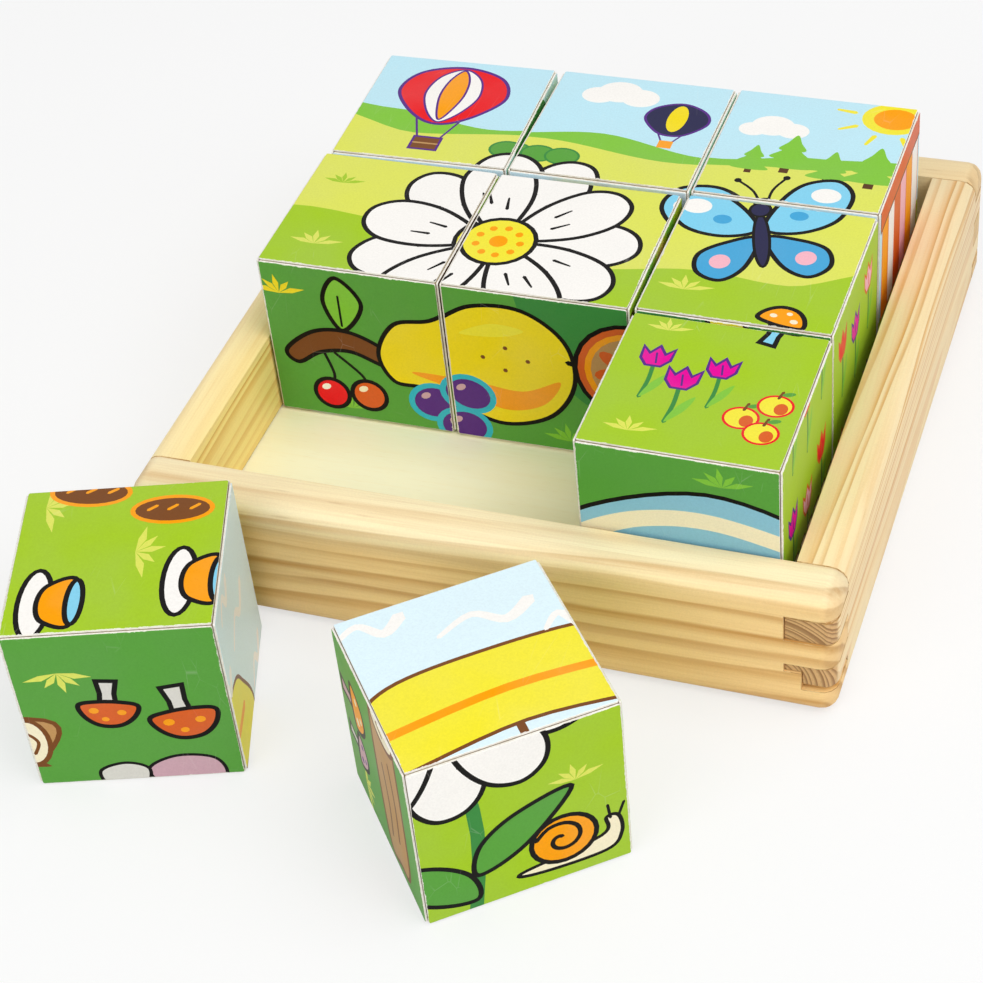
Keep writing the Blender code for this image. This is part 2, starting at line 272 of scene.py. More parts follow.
    # end grain drinks more lacquer: darker, with its rings drawn hard
    normal = addNode(tree, "NewGeometry").outputs["Normal"]
    lengthwise = (1, 0, 0) if along else (0, 1, 0)
    facing = addNode(tree, "VectorMath", (normal, lengthwise), operation="DOT_PRODUCT")
    facing = addNode(tree, "Math", (facing,), operation="ABSOLUTE")
    isEnd = addNode(tree, "MapRange", (facing, 0.2, 0.5, 0, 1), interpolation_type="SMOOTHSTEP")
    pores = addNode(tree, "TexNoise", {"Vector": place, "Scale": 2400, "Detail": 2, "Roughness": 0.7})
    drawn = addNode(tree, "Math", (late, 0.85), operation="MULTIPLY")
    speckled = addNode(tree, "MapRange", (pores, 0.5, 0.8, 0, 0.5))
    endColour = linear(pineTones["end"])
    for amount in (drawn, speckled):
        endColour = addNode(tree, "Mix", (amount, endColour, linear(pineTones["endLate"])),
                            data_type="RGBA")
    soaked = addNode(tree, "Math", (isEnd, cut["end"]), operation="MULTIPLY")
    colour = addNode(tree, "Mix", (soaked, colour, endColour), data_type="RGBA")
    # sanding leaves it faintly mottled
    sanded = addNode(tree, "MapRange", (pores, 0.3, 0.7, 0.965, 1.03))
    colour = addNode(tree, "HueSaturation", {"Color": colour, "Value": sanded})

    dull = addNode(tree, "MapRange", (stretched["fibre"], 0.2, 0.8, 0.38, 0.52))
    dull = addNode(tree, "Math", (isEnd, 0.2, dull), operation="MULTIPLY_ADD")
    dull = addNode(tree, "Math", (lateness, -0.08, dull), operation="MULTIPLY_ADD")
    ridges = addNode(tree, "Bump", {"Height": late, "Distance": 0.03 * mm, "Strength": 0.5})
    relief = addNode(tree, "Math", (pores, isEnd, stretched["fibre"]), operation="MULTIPLY_ADD")
    relief = addNode(tree, "Bump", {
        "Height": relief, "Distance": 0.05 * mm, "Strength": 0.6, "Normal": ridges})
    join(tree, shader, {"Base Color": colour, "Roughness": dull, "Normal": relief})
    return material


boardTones = {"face": "FFFCDC", "streak": "FBF2C8", "tick": "E8D8A8"}


def makeBoard(name):
    # sanded plywood, bare: nearly plain, with faint long fibres and a dull surface
    material, tree, shader = newMaterial(name, {
        "IOR": 1.5, "Specular IOR Level": 0.3, "Coat Weight": 0.04, "Coat Roughness": 0.5})
    place = addNode(tree, "TexCoord").outputs["Object"]
    stretched = []
    for scale in ((12, 90, 90), (60, 1900, 1900), (160, 1700, 1700)):
        stretched.append(addNode(tree, "VectorMath", (place, scale), operation="MULTIPLY"))
    broad = addNode(tree, "TexNoise", {"Vector": stretched[0], "Scale": 1, "Detail": 3, "Distortion": 0.6})
    fine = addNode(tree, "TexNoise", {"Vector": stretched[1], "Scale": 1, "Detail": 2})
    vessel = addNode(tree, "TexVoronoi", {"Vector": stretched[2], "Scale": 1})
    colour = linear(boardTones["face"])
    for amount, tone in ((addNode(tree, "MapRange", (broad, 0.4, 0.7, 0, 0.5)), "streak"),
                         (addNode(tree, "MapRange", (fine, 0.45, 0.8, 0, 0.35)), "streak"),
                         (addNode(tree, "MapRange", (vessel, 0.05, 0.22, 0.22, 0)), "tick")):
        colour = addNode(tree, "Mix", (amount, colour, linear(boardTones[tone])), data_type="RGBA")
    join(tree, shader, {
        "Base Color": colour, "Roughness": addNode(tree, "MapRange", (fine, 0.2, 0.8, 0.5, 0.66)),
        "Normal": addNode(tree, "Bump", {"Height": fine, "Distance": 0.04 * mm, "Strength": 0.6})})
    return material


cubeWoodTones = {"pale": "C4AE86", "dark": "94795A", "fleck": "7C6548"}


def makeCubeWood(name):
    # sawn beech, bare: grey-brown, seen only as a hairline between the sheets
    material, tree, shader = newMaterial(name, {"IOR": 1.5, "Specular IOR Level": 0.3})
    place = addNode(tree, "TexCoord").outputs["Object"]
    drawnOut = addNode(tree, "VectorMath", (place, (35, 35, 240)), operation="MULTIPLY")
    figure = addNode(tree, "TexNoise", {"Vector": drawnOut, "Scale": 1, "Detail": 3, "Distortion": 0.8})
    finer = addNode(tree, "VectorMath", (place, (500, 500, 1900)), operation="MULTIPLY")
    fleck = addNode(tree, "TexVoronoi", {"Vector": finer, "Scale": 1})
    saw = addNode(tree, "TexNoise", {"Vector": place, "Scale": 1500, "Detail": 3, "Roughness": 0.7})
    colour = linear(cubeWoodTones["pale"])
    for amount, tone in ((addNode(tree, "MapRange", (figure, 0.35, 0.7)), "dark"),
                         (addNode(tree, "MapRange", (fleck, 0.1, 0.35, 0.5, 0)), "fleck")):
        colour = addNode(tree, "Mix", (amount, colour, linear(cubeWoodTones[tone])), data_type="RGBA")
    join(tree, shader, {
        "Base Color": colour, "Roughness": addNode(tree, "MapRange", (saw, 0.3, 0.7, 0.6, 0.8)),
        "Normal": addNode(tree, "Bump", {"Height": saw, "Distance": 0.08 * mm, "Strength": 0.7})})
    return material


rail = {
    "arris": 0.18,  # mm, how far the sawn and planed edges are broken
    "arrisSteps": 2,
    "sharpFrom": 32.0,  # degrees: flatter turns are shaded round
    "jointShadeMargin": 0.5,  # mm from the rail's top and underside, where an edge belongs to a finger and takes the painted joint shade
    "tilted": 0.2,  # how far a broken edge looks along an axis before it counts as facing that way
    "sameSpot": 0.002,  # mm, corners nearer than this are one
}
# painted shade for the finger joints: a deeper and a fainter golden brown, mixed in patches
jointShadeTones = {"deep": "B08348", "thin": "DCBB84"}


def makeJointShade(name):
    # painted shade of the joint gaps: a broken golden-brown hairline round each finger, darker than the pine
    material, tree, shader = newMaterial(name, {"IOR": 1.5, "Specular IOR Level": 0.3, "Roughness": 0.55})
    place = addNode(tree, "TexCoord").outputs["Object"]
    patches = addNode(tree, "TexNoise", {"Vector": place, "Scale": 420, "Detail": 3, "Roughness": 0.6})
    thin = addNode(tree, "MapRange", (patches, 0.42, 0.62))
    colour = addNode(tree, "Mix", (thin, linear(jointShadeTones["deep"]), linear(jointShadeTones["thin"])),
                     data_type="RGBA")
    join(tree, shader, {
        "Base Color": colour,
        "Normal": addNode(tree, "Bump", {"Height": patches, "Distance": 0.05 * mm, "Strength": 0.5})})
    return material


def makeRail(nodeName, values, jointShade):
    # the frame's rail with its sharp outer edges broken, and painted joint shade on those of its fingers
    cut = railCuts[nodeName]
    low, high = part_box(nodeName)
    lengthwise = Vector((1, 0, 0)) if cut["along"] == "x" else Vector((0, 1, 0))
    builder = bmesh.new()
    builder.from_mesh(nodes[nodeName].data)
    bmesh.ops.remove_doubles(builder, verts=builder.verts, dist=values["sameSpot"] * mm)
    bmesh.ops.dissolve_limit(builder, angle_limit=radians(1), verts=builder.verts, edges=builder.edges)
    sharp = [edge for edge in builder.edges if len(edge.link_faces) == 2
             and edge.calc_face_angle_signed(0) > radians(values["sharpFrom"])]
    broken = bmesh.ops.bevel(builder, geom=sharp, offset=values["arris"] * mm, offset_type="OFFSET",
                             segments=values["arrisSteps"], profile=0.5, affect="EDGES", clamp_overlap=True,
                             material=-1)
    margin = values["jointShadeMargin"] * mm
    for face in broken["faces"]:
        inside = low.z + margin < face.calc_center_median().z < high.z - margin
        level = abs(face.normal.z) > values["tilted"]
        crosses = abs(face.normal.dot(lengthwise)) > values["tilted"]
        # the broken edges of the fingers take the painted shade of the joint gaps
        if (level and inside) or (crosses and (level or cut["along"] == "x")):
            face.material_index = 1
    mesh = bpy.data.meshes.new(nodeName.replace("_r", "R"))
    builder.to_mesh(mesh)
    builder.free()
    mesh.shade_smooth()
    mesh.set_sharp_from_angle(angle=radians(values["sharpFrom"]))
    mesh.materials.append(makePine(f"planedPine_{nodeName}", (low + high) / 2, cut))
    mesh.materials.append(jointShade)
    made = bpy.data.objects.new(nodeName.replace("_r", "R"), mesh)
    bpy.context.scene.collection.objects.link(made)
    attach(made, "tray")
    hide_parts(nodeName)


def madePlain(item):
    # the object with its modifiers turned into a plain mesh
    bpy.context.view_layer.update()
    graph = bpy.context.evaluated_depsgraph_get()
    mesh = bpy.data.meshes.new_from_object(item.evaluated_get(graph))
    item.modifiers.clear()
    item.data = mesh
    return item


def dress(nodeName, material):
    target = nodes[nodeName]
    target.data.materials.clear()
    target.data.materials.append(material)


# Pictures. Each is a square of thirty units, ten for each cube's sheet, painted from the back to
# the front: a list of outlines, anticlockwise, each with its ink.

inks = {
    "line": "12100F", "white": "F7F4EF", "grey": "DAD7D0", "sky": "BFE6F2", "ice": "DDF1F8",
    "blue": "85D0EC", "deepBlue": "4BA6D6", "sea": "8DC3DA", "navy": "2B2A4C",
    "lime": "A4C833", "paleLime": "DCE163", "leaf": "83C441", "meadow": "5CA042", "moss": "3F8A43",
    "yellow": "F1E540", "gold": "F2DB26", "orange": "F9A11F", "rust": "D9622A", "red": "E8262B",
    "pink": "F4B6C4", "rose": "CDA6B2", "magenta": "E4189A", "purple": "5B2F86", "cyan": "35B7CE",
    "brown": "7A4A26", "bark": "5A391F", "tan": "BF935F", "cream": "F5EBCB",
}
pictureGrid = {
    "units": 10.0,  # picture units across one sheet
    "line": 0.26,  # width of the drawn outlines, in units
    "sharpest": 0.45,  # a corner sharper than this is moved out no further
    "foldedBack": 0.05,  # and one as sharp as this stays where it is
    "closest": 0.0005,  # units, points nearer than this are one
}


def oval(x, y, wide, high=None, turn=0.0, steps=24):
    high = wide if high is None else high
    c, s = cos(radians(turn)), sin(radians(turn))
    made = []
    for step in range(steps):
        a, b = wide * cos(2 * pi * step / steps), high * sin(2 * pi * step / steps)
        made.append((x + a * c - b * s, y + a * s + b * c))
    return made


def box(x0, y0, x1, y1):
    return [(x0, y0), (x1, y0), (x1, y1), (x0, y1)]


def curve(points, closed=True, steps=8):
    # a smooth line through these points
    count = len(points)
    made = []
    for index in range(count if closed else count - 1):
        if closed:
            p0, p1, p2, p3 = (points[(index + shift) % count] for shift in (-1, 0, 1, 2))
        else:
            p1, p2 = points[index], points[index + 1]
            p0 = points[index - 1] if index else p1
            p3 = points[index + 2] if index + 2 < count else p2
        for step in range(steps):
            t = step / steps
            made.append(tuple(
                0.5 * (2 * b + (c - a) * t + (2 * a - 5 * b + 4 * c - d) * t * t
                       + (3 * b - 3 * c + d - a) * t ** 3)
                for a, b, c, d in zip(p0, p1, p2, p3)))
    if not closed:
        made.append(tuple(points[-1]))
    return made


def anticlockwise(outline):
    area = sum(a[0] * b[1] - b[0] * a[1] for a, b in zip(outline, outline[1:] + outline[:1]))
    return outline if area > 0 else outline[::-1]


def grown(outline, by):
    # the outline moved outwards, or inwards where by is negative
    outline = anticlockwise(outline)
    made = []
    for index, (x, y) in enumerate(outline):
        before, after = outline[index - 1], outline[(index + 1) % len(outline)]
        inward = Vector((x - before[0], y - before[1])).normalized()
        onward = Vector((after[0] - x, after[1] - y)).normalized()
        mean = Vector((inward.y + onward.y, -inward.x - onward.x))
        if mean.length < pictureGrid["foldedBack"]:
            made.append((x, y))
            continue
        mean.normalize()
        shift = by / max(pictureGrid["sharpest"], mean.dot(Vector((onward.y, -onward.x))))
        made.append((x + mean.x * shift, y + mean.y * shift))
    return made


def ribbon(points, width, thin=1.0, steps=5):
    # a brush stroke along a smooth line, down to thin times its width at the far end
    line = curve(points, closed=False, steps=steps)
    left, right = [], []
    for index, (x, y) in enumerate(line):
        before, after = line[max(index - 1, 0)], line[min(index + 1, len(line) - 1)]
        along = Vector((after[0] - before[0], after[1] - before[1])).normalized()
        half = width / 2 * (1 + (thin - 1) * index / (len(line) - 1))
        left.append((x - along.y * half, y + along.x * half))
        right.append((x + along.y * half, y - along.x * half))
    (x, y), (x1, y1) = line[-1], line[-2]
    ahead = Vector((x - x1, y - y1)).normalized() * width / 2 * thin
    (x2, y2), (x3, y3) = line[0], line[1]
    behind = Vector((x2 - x3, y2 - y3)).normalized() * width / 2
    return anticlockwise(right + [(x + ahead.x, y + ahead.y)]
                         + left[::-1] + [(x2 + behind.x, y2 + behind.y)])


class Picture:
    def __init__(self, ground):
        self.layers = [(box(-2, -2, 32, 32), ground)]

    def fill(self, outline, ink):
        self.layers.append((anticlockwise(outline), ink))

    def drawn(self, outline, ink, line="line", width=1.0):
        # a filled shape with a drawn outline
        half = pictureGrid["line"] * width / 2
        self.layers.append((grown(outline, half), line))
        self.layers.append((grown(outline, -half), ink))

    def stroke(self, points, ink="line", width=1.0, thin=1.0, steps=5):
        self.layers.append((ribbon(points, pictureGrid["line"] * width, thin, steps), ink))

    def puff(self, rounds, ink):
        # several rounds as one soft shape, such as a cloud
        for x, y, wide in rounds:
            self.fill(oval(x, y, wide, wide * 0.8), ink)

    def tuft(self, x, y, size=1.0, ink="paleLime"):
        # a tuft of grass: five pointed blades from one root
        for lean, tall in ((-78, 1.5), (-42, 1.3), (-8, 1.5), (34, 1.2), (74, 1.6)):
            a = radians(90 - lean)
            tip = (x + tall * size * cos(a), y + 0.75 * tall * size * sin(a))
            side = (0.17 * size * sin(a), -0.17 * size * cos(a))
            middle = ((x + tip[0]) / 2 + side[0], (y + tip[1]) / 2 + side[1])
            other = ((x + tip[0]) / 2 - side[0], (y + tip[1]) / 2 - side[1])
            self.fill([(x, y - 0.1 * size), middle, tip, other], ink)

    def flower(self, x, y, size, petal, line, heart):
        # five round petals about a heart
        for index in range(5):
            turn = 18 + 72 * index
            a = radians(turn)
            middle = (x + 0.62 * size * cos(a), y + 0.62 * size * sin(a))
            self.drawn(oval(*middle, 0.52 * size, 0.36 * size, turn, 14), petal, line, 0.4)
        self.fill(oval(x, y, 0.3 * size, 0.2 * size, 0, 12), heart)

    def apple(self, x, y):
        size = 0.85
        self.drawn(oval(x, y, size, 0.9 * size), "yellow", "red", 0.5)
        self.fill(oval(x + 0.35 * size, y - 0.2 * size, 0.4 * size, 0.5 * size), "rust")
        self.stroke([(x, y + 0.7 * size), (x + 0.15 * size, y + 1.3 * size)], "brown", 0.6)
        self.fill(oval(x + 0.5 * size, y + 1.15 * size, 0.4 * size, 0.18 * size, 20, 10), "meadow")

    def tulip(self, x, y, size=1.0, ink="magenta", line="purple"):
        # a cup of three pointed petals on its stem, with a leaf
        self.stroke([(x, y), (x + 0.1 * size, y - 1.5 * size), (x, y - 2.9 * size)], "moss", 0.9 * size)
        leaf = [(x, y - 2.9 * size), (x + 0.75 * size, y - 1.9 * size), (x + 1.0 * size, y - 0.8 * size),
                (x + 0.3 * size, y - 1.7 * size)]
        self.fill(curve(leaf), "leaf")
        cup = [(x - 0.85, y + 1.15), (x - 0.8, y + 0.2), (x - 0.4, y - 0.35), (x + 0.4, y - 0.35),
               (x + 0.8, y + 0.2), (x + 0.85, y + 1.15), (x + 0.42, y + 0.65), (x, y + 1.3),
               (x - 0.42, y + 0.65)]
        cup = [(x + (a - x) * size, y + (b - y) * size) for a, b in cup]
        self.drawn(cup, ink, line, 0.6)
        self.stroke([(x - 0.05 * size, y + 0.7 * size), (x + 0.1 * size, y - 0.1 * size)], line, 0.4)

    def fir(self, x, y, size=1.0, ink="leaf"):
        self.fill(box(x - 0.3 * size, y - 0.7 * size, x + 0.3 * size, y + 0.3 * size), "bark")
        for level in range(3):
            wide, base = (1.7 - 0.4 * level) * size, y + level * 0.95 * size
            self.fill(curve([(x - wide, base), (x, base - 0.2 * size), (x + wide, base),
                             (x + 0.5 * wide, base + 0.8 * size), (x, base + 1.7 * size),
                             (x - 0.5 * wide, base + 0.8 * size)], steps=4), ink)

    def mushroom(self, x, y, size, turn, cap, stem, spots):
        def placed(points):
            c, s = cos(radians(turn)), sin(radians(turn))
            return [(x + size * (a * c - b * s), y + size * (a * s + b * c)) for a, b in points]
        foot = [(-0.5, 0), (0.5, 0), (0.36, 0.9), (0.42, 1.9), (-0.42, 1.9), (-0.36, 0.9)]
        self.drawn(placed(foot), stem)
        crown = [(-1.5, 1.75), (-0.6, 1.5), (0.6, 1.5), (1.5, 1.75), (1.25, 2.6), (0.5, 3.2),
                 (-0.5, 3.2), (-1.25, 2.6)]
        self.drawn(curve(placed(crown)), cap)
        for a, b, wide in ((-0.65, 2.25, 0.24), (0.2, 2.75, 0.2), (0.75, 2.15, 0.26)):
            (spot,) = placed([(a, b)])
            self.fill(oval(*spot, wide * size, wide * 0.8 * size, turn, 10), spots)


def gardenPicture():
    # white daisy, blue butterfly, balloons and tulips under a pale sky
    p = Picture("sky")
    p.puff([(12.6, 28.0, 1.0), (13.7, 28.5, 1.3), (15.0, 28.1, 1.1)], "white")
    p.puff([(21.6, 26.3, 0.8), (22.6, 26.8, 1.2), (23.8, 26.5, 0.9)], "white")
    sun = (28.9, 28.7)  # in the far right corner
    for turn in range(0, 360, 40):
        a = radians(turn + 12)
        p.stroke([(sun[0] + 2.2 * cos(a), sun[1] + 1.9 * sin(a)),
                  (sun[0] + 3.2 * cos(a), sun[1] + 2.8 * sin(a))], "yellow", 1.2, 0.6)
    p.fill(oval(*sun, 1.75, 1.5), "yellow")
    p.fill(oval(29.0, 28.7, 1.2, 1.0), "orange")
    p.fill(curve([(-3, 23.2), (2, 24.6), (8, 23.4), (14, 24.3), (20, 23.1), (26, 24.2), (33, 23),
                  (33, 8), (-3, 8)]), "leaf")
    p.fill(curve([(-3, 22.6), (4, 22.4), (11, 23.2), (18, 22.3), (25, 23.0), (33, 22.2),
                  (33, 4), (-3, 4)]), "paleLime")
    p.fill(curve([(-3, 13.2), (6, 14.6), (15, 12.6), (22, 13.6), (27, 13.3), (33, 14.4),
                  (34, -4), (-4, -4)]), "lime")
    for x, y, size in ((22.3, 22.6, 0.62), (24.2, 23.1, 0.85), (26.6, 22.5, 0.7), (28.9, 22.6, 0.9)):
        p.fir(x, y, size)
    # a red and white balloon
    p.stroke([(3.5, 24.2), (4.3, 21.9)], "purple", 0.5)
    p.stroke([(6.3, 24.2), (5.5, 21.9)], "purple", 0.5)
    p.drawn(curve([(4.9, 29.3), (2.5, 28.5), (1.7, 26.6), (2.7, 24.8), (4.2, 23.6), (5.6, 23.6),
                   (7.1, 24.8), (8.1, 26.6), (7.3, 28.5)]), "red", "purple", 0.8)
    p.drawn(curve([(4.9, 29.1), (3.7, 28.2), (3.3, 26.5), (3.8, 24.9), (4.6, 23.8), (5.2, 23.8),
                   (6.0, 24.9), (6.5, 26.5), (6.1, 28.2)]), "white", "purple", 0.5)
    p.drawn(curve([(4.9, 29.0), (4.35, 28), (4.2, 26.4), (4.5, 24.8), (4.9, 23.9), (5.3, 24.8),
                   (5.6, 26.4), (5.45, 28)]), "orange", "purple", 0.5)
    p.drawn(box(4.1, 20.9, 5.7, 22.1), "brown", "purple", 0.6)
    p.stroke([(4.2, 21.5), (5.6, 21.5)], "tan", 0.5)
    # a small dark one, further off
    p.stroke([(16.9, 25.0), (17.3, 24.2)], "purple", 0.4)
    p.stroke([(18.3, 25.0), (17.9, 24.2)], "purple", 0.4)
    p.drawn(curve([(17.6, 28.0), (16.2, 27.4), (15.8, 26.3), (16.7, 25.1), (17.6, 24.8), (18.5, 25.1),
                   (19.4, 26.3), (19.0, 27.4)]), "navy", "purple", 0.6)
    p.fill(oval(17.6, 26.5, 0.55, 1.3), "gold")
    p.fill(box(17.2, 23.6, 18.0, 24.3), "orange")
    # a bed of clipped hedges by the far edge
    for x in (9.6, 11.0, 12.4):
        p.drawn(oval(x, 21.7, 0.95, 0.75), "meadow", "moss", 0.5)
    # the daisy
    p.stroke([(12.0, 12.0), (12.8, 5.0), (12.0, -2.0)], "moss", 2.6)
    p.drawn(curve([(12.6, 2.2), (15.0, 3.2), (17.4, 6.0), (14.6, 5.4), (12.8, 4.0)]), "meadow")
    p.drawn(curve([(12.4, 0.6), (9.8, 1.4), (7.2, 4.2), (10.2, 3.8), (12.2, 2.4)]), "meadow")
    daisy = (11.7, 14.0)
    for index in (0, 2, 4, 6, 8, 10, 1, 3, 5, 7, 9):
        turn = 360 * index / 11 + 8
        c, s = cos(radians(turn)), sin(radians(turn))
        petal = [(1.0, -0.5), (3.6, -1.7), (6.0, -1.75), (7.4, -0.7), (7.3, 0.8), (5.9, 1.75),
                 (3.4, 1.6), (1.0, 0.5)]
        p.drawn(curve([(daisy[0] + a * c - b * s, daisy[1] + a * s + b * c) for a, b in petal]), "white")
        for a, b in ((2.9, -0.35), (3.5, 0.5)):
            p.stroke([(daisy[0] + a * c - b * s, daisy[1] + a * s + b * c),
                      (daisy[0] + (a + 1.0) * c - b * s * 1.25, daisy[1] + (a + 1.0) * s + b * c * 1.25)],
                     "line", 0.8, 0.5)
    p.drawn(oval(*daisy, 2.0), "yellow")
    for index in range(9):
        a = radians(40 * index)
        p.fill(oval(daisy[0] + 1.2 * cos(a), daisy[1] + 1.2 * sin(a), 0.22, steps=8), "orange")
    p.fill(oval(*daisy, 0.5, steps=14), "orange")
    # the butterfly, leaning to the left
    body, lean = (24.6, 17.2), radians(16)
    lower = [(0.2, -0.2), (1.9, -0.5), (3.3, -1.4), (3.4, -2.9), (2.2, -3.7), (0.9, -2.6)]
    upper = [(0.2, 0.5), (0.8, 2.4), (2.2, 4.0), (4.0, 4.2), (4.7, 2.8), (3.9, 1.0), (2.0, 0.1)]
    for side in (-1, 1):
        def wing(points):
            return [(body[0] + side * a * cos(lean) - b * sin(lean),
                     body[1] + side * a * sin(lean) + b * cos(lean)) for a, b in points]
        p.drawn(curve(wing(lower)), "deepBlue")
        p.drawn(curve(wing(upper)), "blue")
        p.fill(oval(*wing([(3.3, 2.9)])[0], 0.8, 0.65), "white")
        p.fill(oval(*wing([(2.0, 1.6)])[0], 0.5, 0.4), "deepBlue")
        p.fill(oval(*wing([(2.2, -2.1)])[0], 0.55, 0.6), "pink")
        p.stroke(wing([(0.12, 2.1), (0.5, 3.6), (1.3, 4.7)]), "line", 0.6)
        p.fill(oval(*wing([(1.3, 4.7)])[0], 0.2), "line")
    p.drawn(oval(body[0] + 0.1, body[1] - 0.4, 0.42, 2.3, 16), "navy", width=0.6)
    p.drawn(oval(body[0] - 2.3 * sin(lean), body[1] + 2.3 * cos(lean), 0.55, 0.6), "navy", width=0.6)
    # what grows near by
    p.mushroom(27.0, 8.9, 0.82, -12, "orange", "blue", "cream")
    for x, y, size in ((22.0, 6.4, 0.95), (23.7, 5.0, 1.0), (25.4, 6.2, 0.9)):
        p.tulip(x, y, size)
    for x, y in ((27.2, 3.2), (28.6, 4.4), (28.4, 2.3), (1.6, 3.0), (3.0, 4.2)):
        p.apple(x, y)
    # a snail
    p.drawn(curve([(14.6, 1.3), (15.6, 0.9), (18.8, 0.9), (19.6, 1.8), (19.5, 3.0), (18.9, 3.1),
                   (18.6, 2.0)]), "cream", width=0.8)
    p.stroke([(19.1, 3.0), (19.0, 3.9)], width=0.6)
    p.stroke([(19.5, 3.0), (19.8, 3.8)], width=0.6)
    p.drawn(oval(16.8, 2.7, 1.6, 1.5), "orange")
    p.stroke([(16.7 + 0.1 * step * cos(0.7 * step), 2.7 + 0.095 * step * sin(0.7 * step))
              for step in range(2, 14)], width=0.9, steps=3)
    for x, y, size in ((22.0, 9.0, 0.8), (21.9, 12.0, 1.0), (2.4, 12.0, 1.0), (1.9, 17.6, 0.8),
                       (6.0, 2.4, 1.1), (22.2, 1.2, 0.9), (17.6, 6.4, 0.9)):
        p.tuft(x, y, size, "paleLime" if y < 13 else "lime")
    return p


def orchardPicture():
    # a yellow pear, plums, an orange and a bowl on dark grass
    p = Picture("meadow")
    p.fill(curve([(-3, 31), (-3, 24), (6, 26), (14, 24), (22, 26.4), (33, 24.5), (33, 33)]), "leaf")
    p.fill(curve([(14, 21.5), (19, 22.5), (26, 21), (33, 22), (33, 12), (25, 12.6), (20, 12.2), (16, 15)]),
           "moss")
    p.fill(curve([(-3, 28.2), (6, 28.6), (14, 28.0), (22, 28.7), (33, 28.2), (33, 33), (-3, 33)]), "ice")
    for x, y in ((0.9, 18.2), (4.2, 10.8), (16.5, 10.7), (2.5, 3.5), (22, 28), (8, 27.5), (27.2, 8.6)):
        p.tuft(x, y, 1.0, "gold" if y > 15 else "leaf")
    # a branch with two leaves
    p.drawn(curve([(0.8, 14.3), (2.6, 15.8), (4.8, 16.0), (6.9, 14.9), (6.6, 14.0), (4.6, 14.7),
                   (2.8, 14.4), (1.4, 13.5)]), "brown")
    p.drawn(curve([(4.3, 16.1), (3.4, 18.0), (4.3, 19.6), (5.6, 18.0)]), "leaf")
    p.stroke([(4.3, 16.4), (4.3, 18.4)], "line", 0.5)
    # cherries
    p.stroke([(3.0, 14.4), (3.4, 13.0), (3.2, 12.2)], "line", 0.7)
    p.stroke([(3.6, 14.5), (5.0, 13.2), (5.3, 12.4)], "line", 0.7)
    p.drawn(oval(3.1, 11.6, 1.0), "red")
    p.drawn(oval(5.3, 11.8, 1.0), "rust")
    p.fill(oval(2.8, 12.0, 0.3, 0.2, 30, 10), "white")
    p.fill(oval(5.0, 12.2, 0.3, 0.2, 30, 10), "cream")
    # the pear lies on its side over two cubes
    p.drawn(curve([(6.2, 14.9), (7.3, 17.0), (9.4, 17.6), (11.6, 18.9), (14.4, 19.0), (16.6, 17.3),
                   (17.0, 14.6), (15.6, 12.2), (12.9, 11.2), (10.4, 12.0), (8.6, 12.9),
                   (6.9, 13.1)]), "gold")
    p.fill(curve([(8.0, 13.9), (10.4, 13.1), (13.0, 12.2), (15.2, 12.9), (16.2, 14.6), (14.0, 13.6),
                  (11.0, 13.9)]), "orange")
    p.fill(curve([(10.8, 17.0), (12.6, 17.9), (14.4, 17.7), (13.0, 17.1)]), "yellow")
    p.stroke([(16.7, 16.0), (17.3, 15.9)], "line", 1.2)
    for x, y in ((12.0, 15.6), (13.3, 16.4), (13.2, 14.9), (14.5, 15.7)):
        p.fill(oval(x, y, 0.14, steps=6), "brown")
    # plums with a pale rim
    for x, y, turn in ((9.1, 12.0, 20), (11.0, 12.9, -15), (10.6, 10.6, 5)):
        p.drawn(oval(x, y, 1.35, 1.15, turn), "purple", "cyan", 1.3)
        p.fill(oval(x - 0.45, y + 0.4, 0.32, 0.2, 35, 10), "rose")
    # an orange, cut through
    halved = (20.2, 15.8)
    p.drawn(oval(*halved, 3.1), "rust")
    p.fill(oval(*halved, 2.6), "orange")
    p.fill(oval(*halved, 2.25), "tan")
    for index in range(8):
        turn = 45 * index + 10
        a = radians(turn)
        p.fill(oval(halved[0] + 1.25 * cos(a), halved[1] + 1.25 * sin(a), 0.85, 0.42, turn, 12), "rust")
    # a banana and a strawberry
    p.drawn(curve([(23.6, 20.6), (25.2, 17.3), (28.4, 16.0), (29.3, 16.8), (26.9, 18.2), (25.0, 21.2),
                   (24.2, 21.6)]), "yellow")
    p.drawn(curve([(4.2, 24.8), (2.4, 23.4), (2.6, 21.6), (4.4, 20.2), (6.2, 21.6), (6.4, 23.4)]), "red")
    p.drawn(curve([(4.3, 24.4), (2.8, 25.3), (4.0, 25.3), (4.4, 26.4), (4.9, 25.3), (6.0, 25.2)]), "leaf")
    for x, y in ((3.4, 23.2), (4.4, 22.2), (5.4, 23.3), (4.4, 21.2)):
        p.fill(oval(x, y, 0.16, 0.22, 0, 8), "yellow")
    # grapes
    for row in range(4):
        for index in range(4 - row):
            grape = oval(13.6 + 1.5 * index + 0.75 * row, 25.9 - 1.25 * row, 0.82, steps=14)
            p.drawn(grape, "purple", "cyan", 0.9)
    p.stroke([(15.9, 26.6), (16.3, 28.2), (17.6, 28.8)], "brown", 1.4)
    # the bowl, with a cream band
    p.drawn(curve([(19.3, 5.2), (20.0, 2.0), (22.4, -1.0), (26.2, -1.6), (30.2, -0.8), (32.4, 2.4),
                   (33.0, 5.6), (26.4, 7.9)]), "sea")
    p.fill(curve([(19.8, 4.6), (23.0, 6.2), (27.0, 6.6), (32.6, 5.2), (32.6, 4.4), (27.0, 5.6),
                  (23.2, 5.2), (20.0, 3.7)]), "cream")
    p.fill(curve([(21.4, 0.9), (24.4, -0.2), (28.4, -0.2), (31.4, 0.9), (28.0, 0.6), (24.4, 0.6)]), "blue")
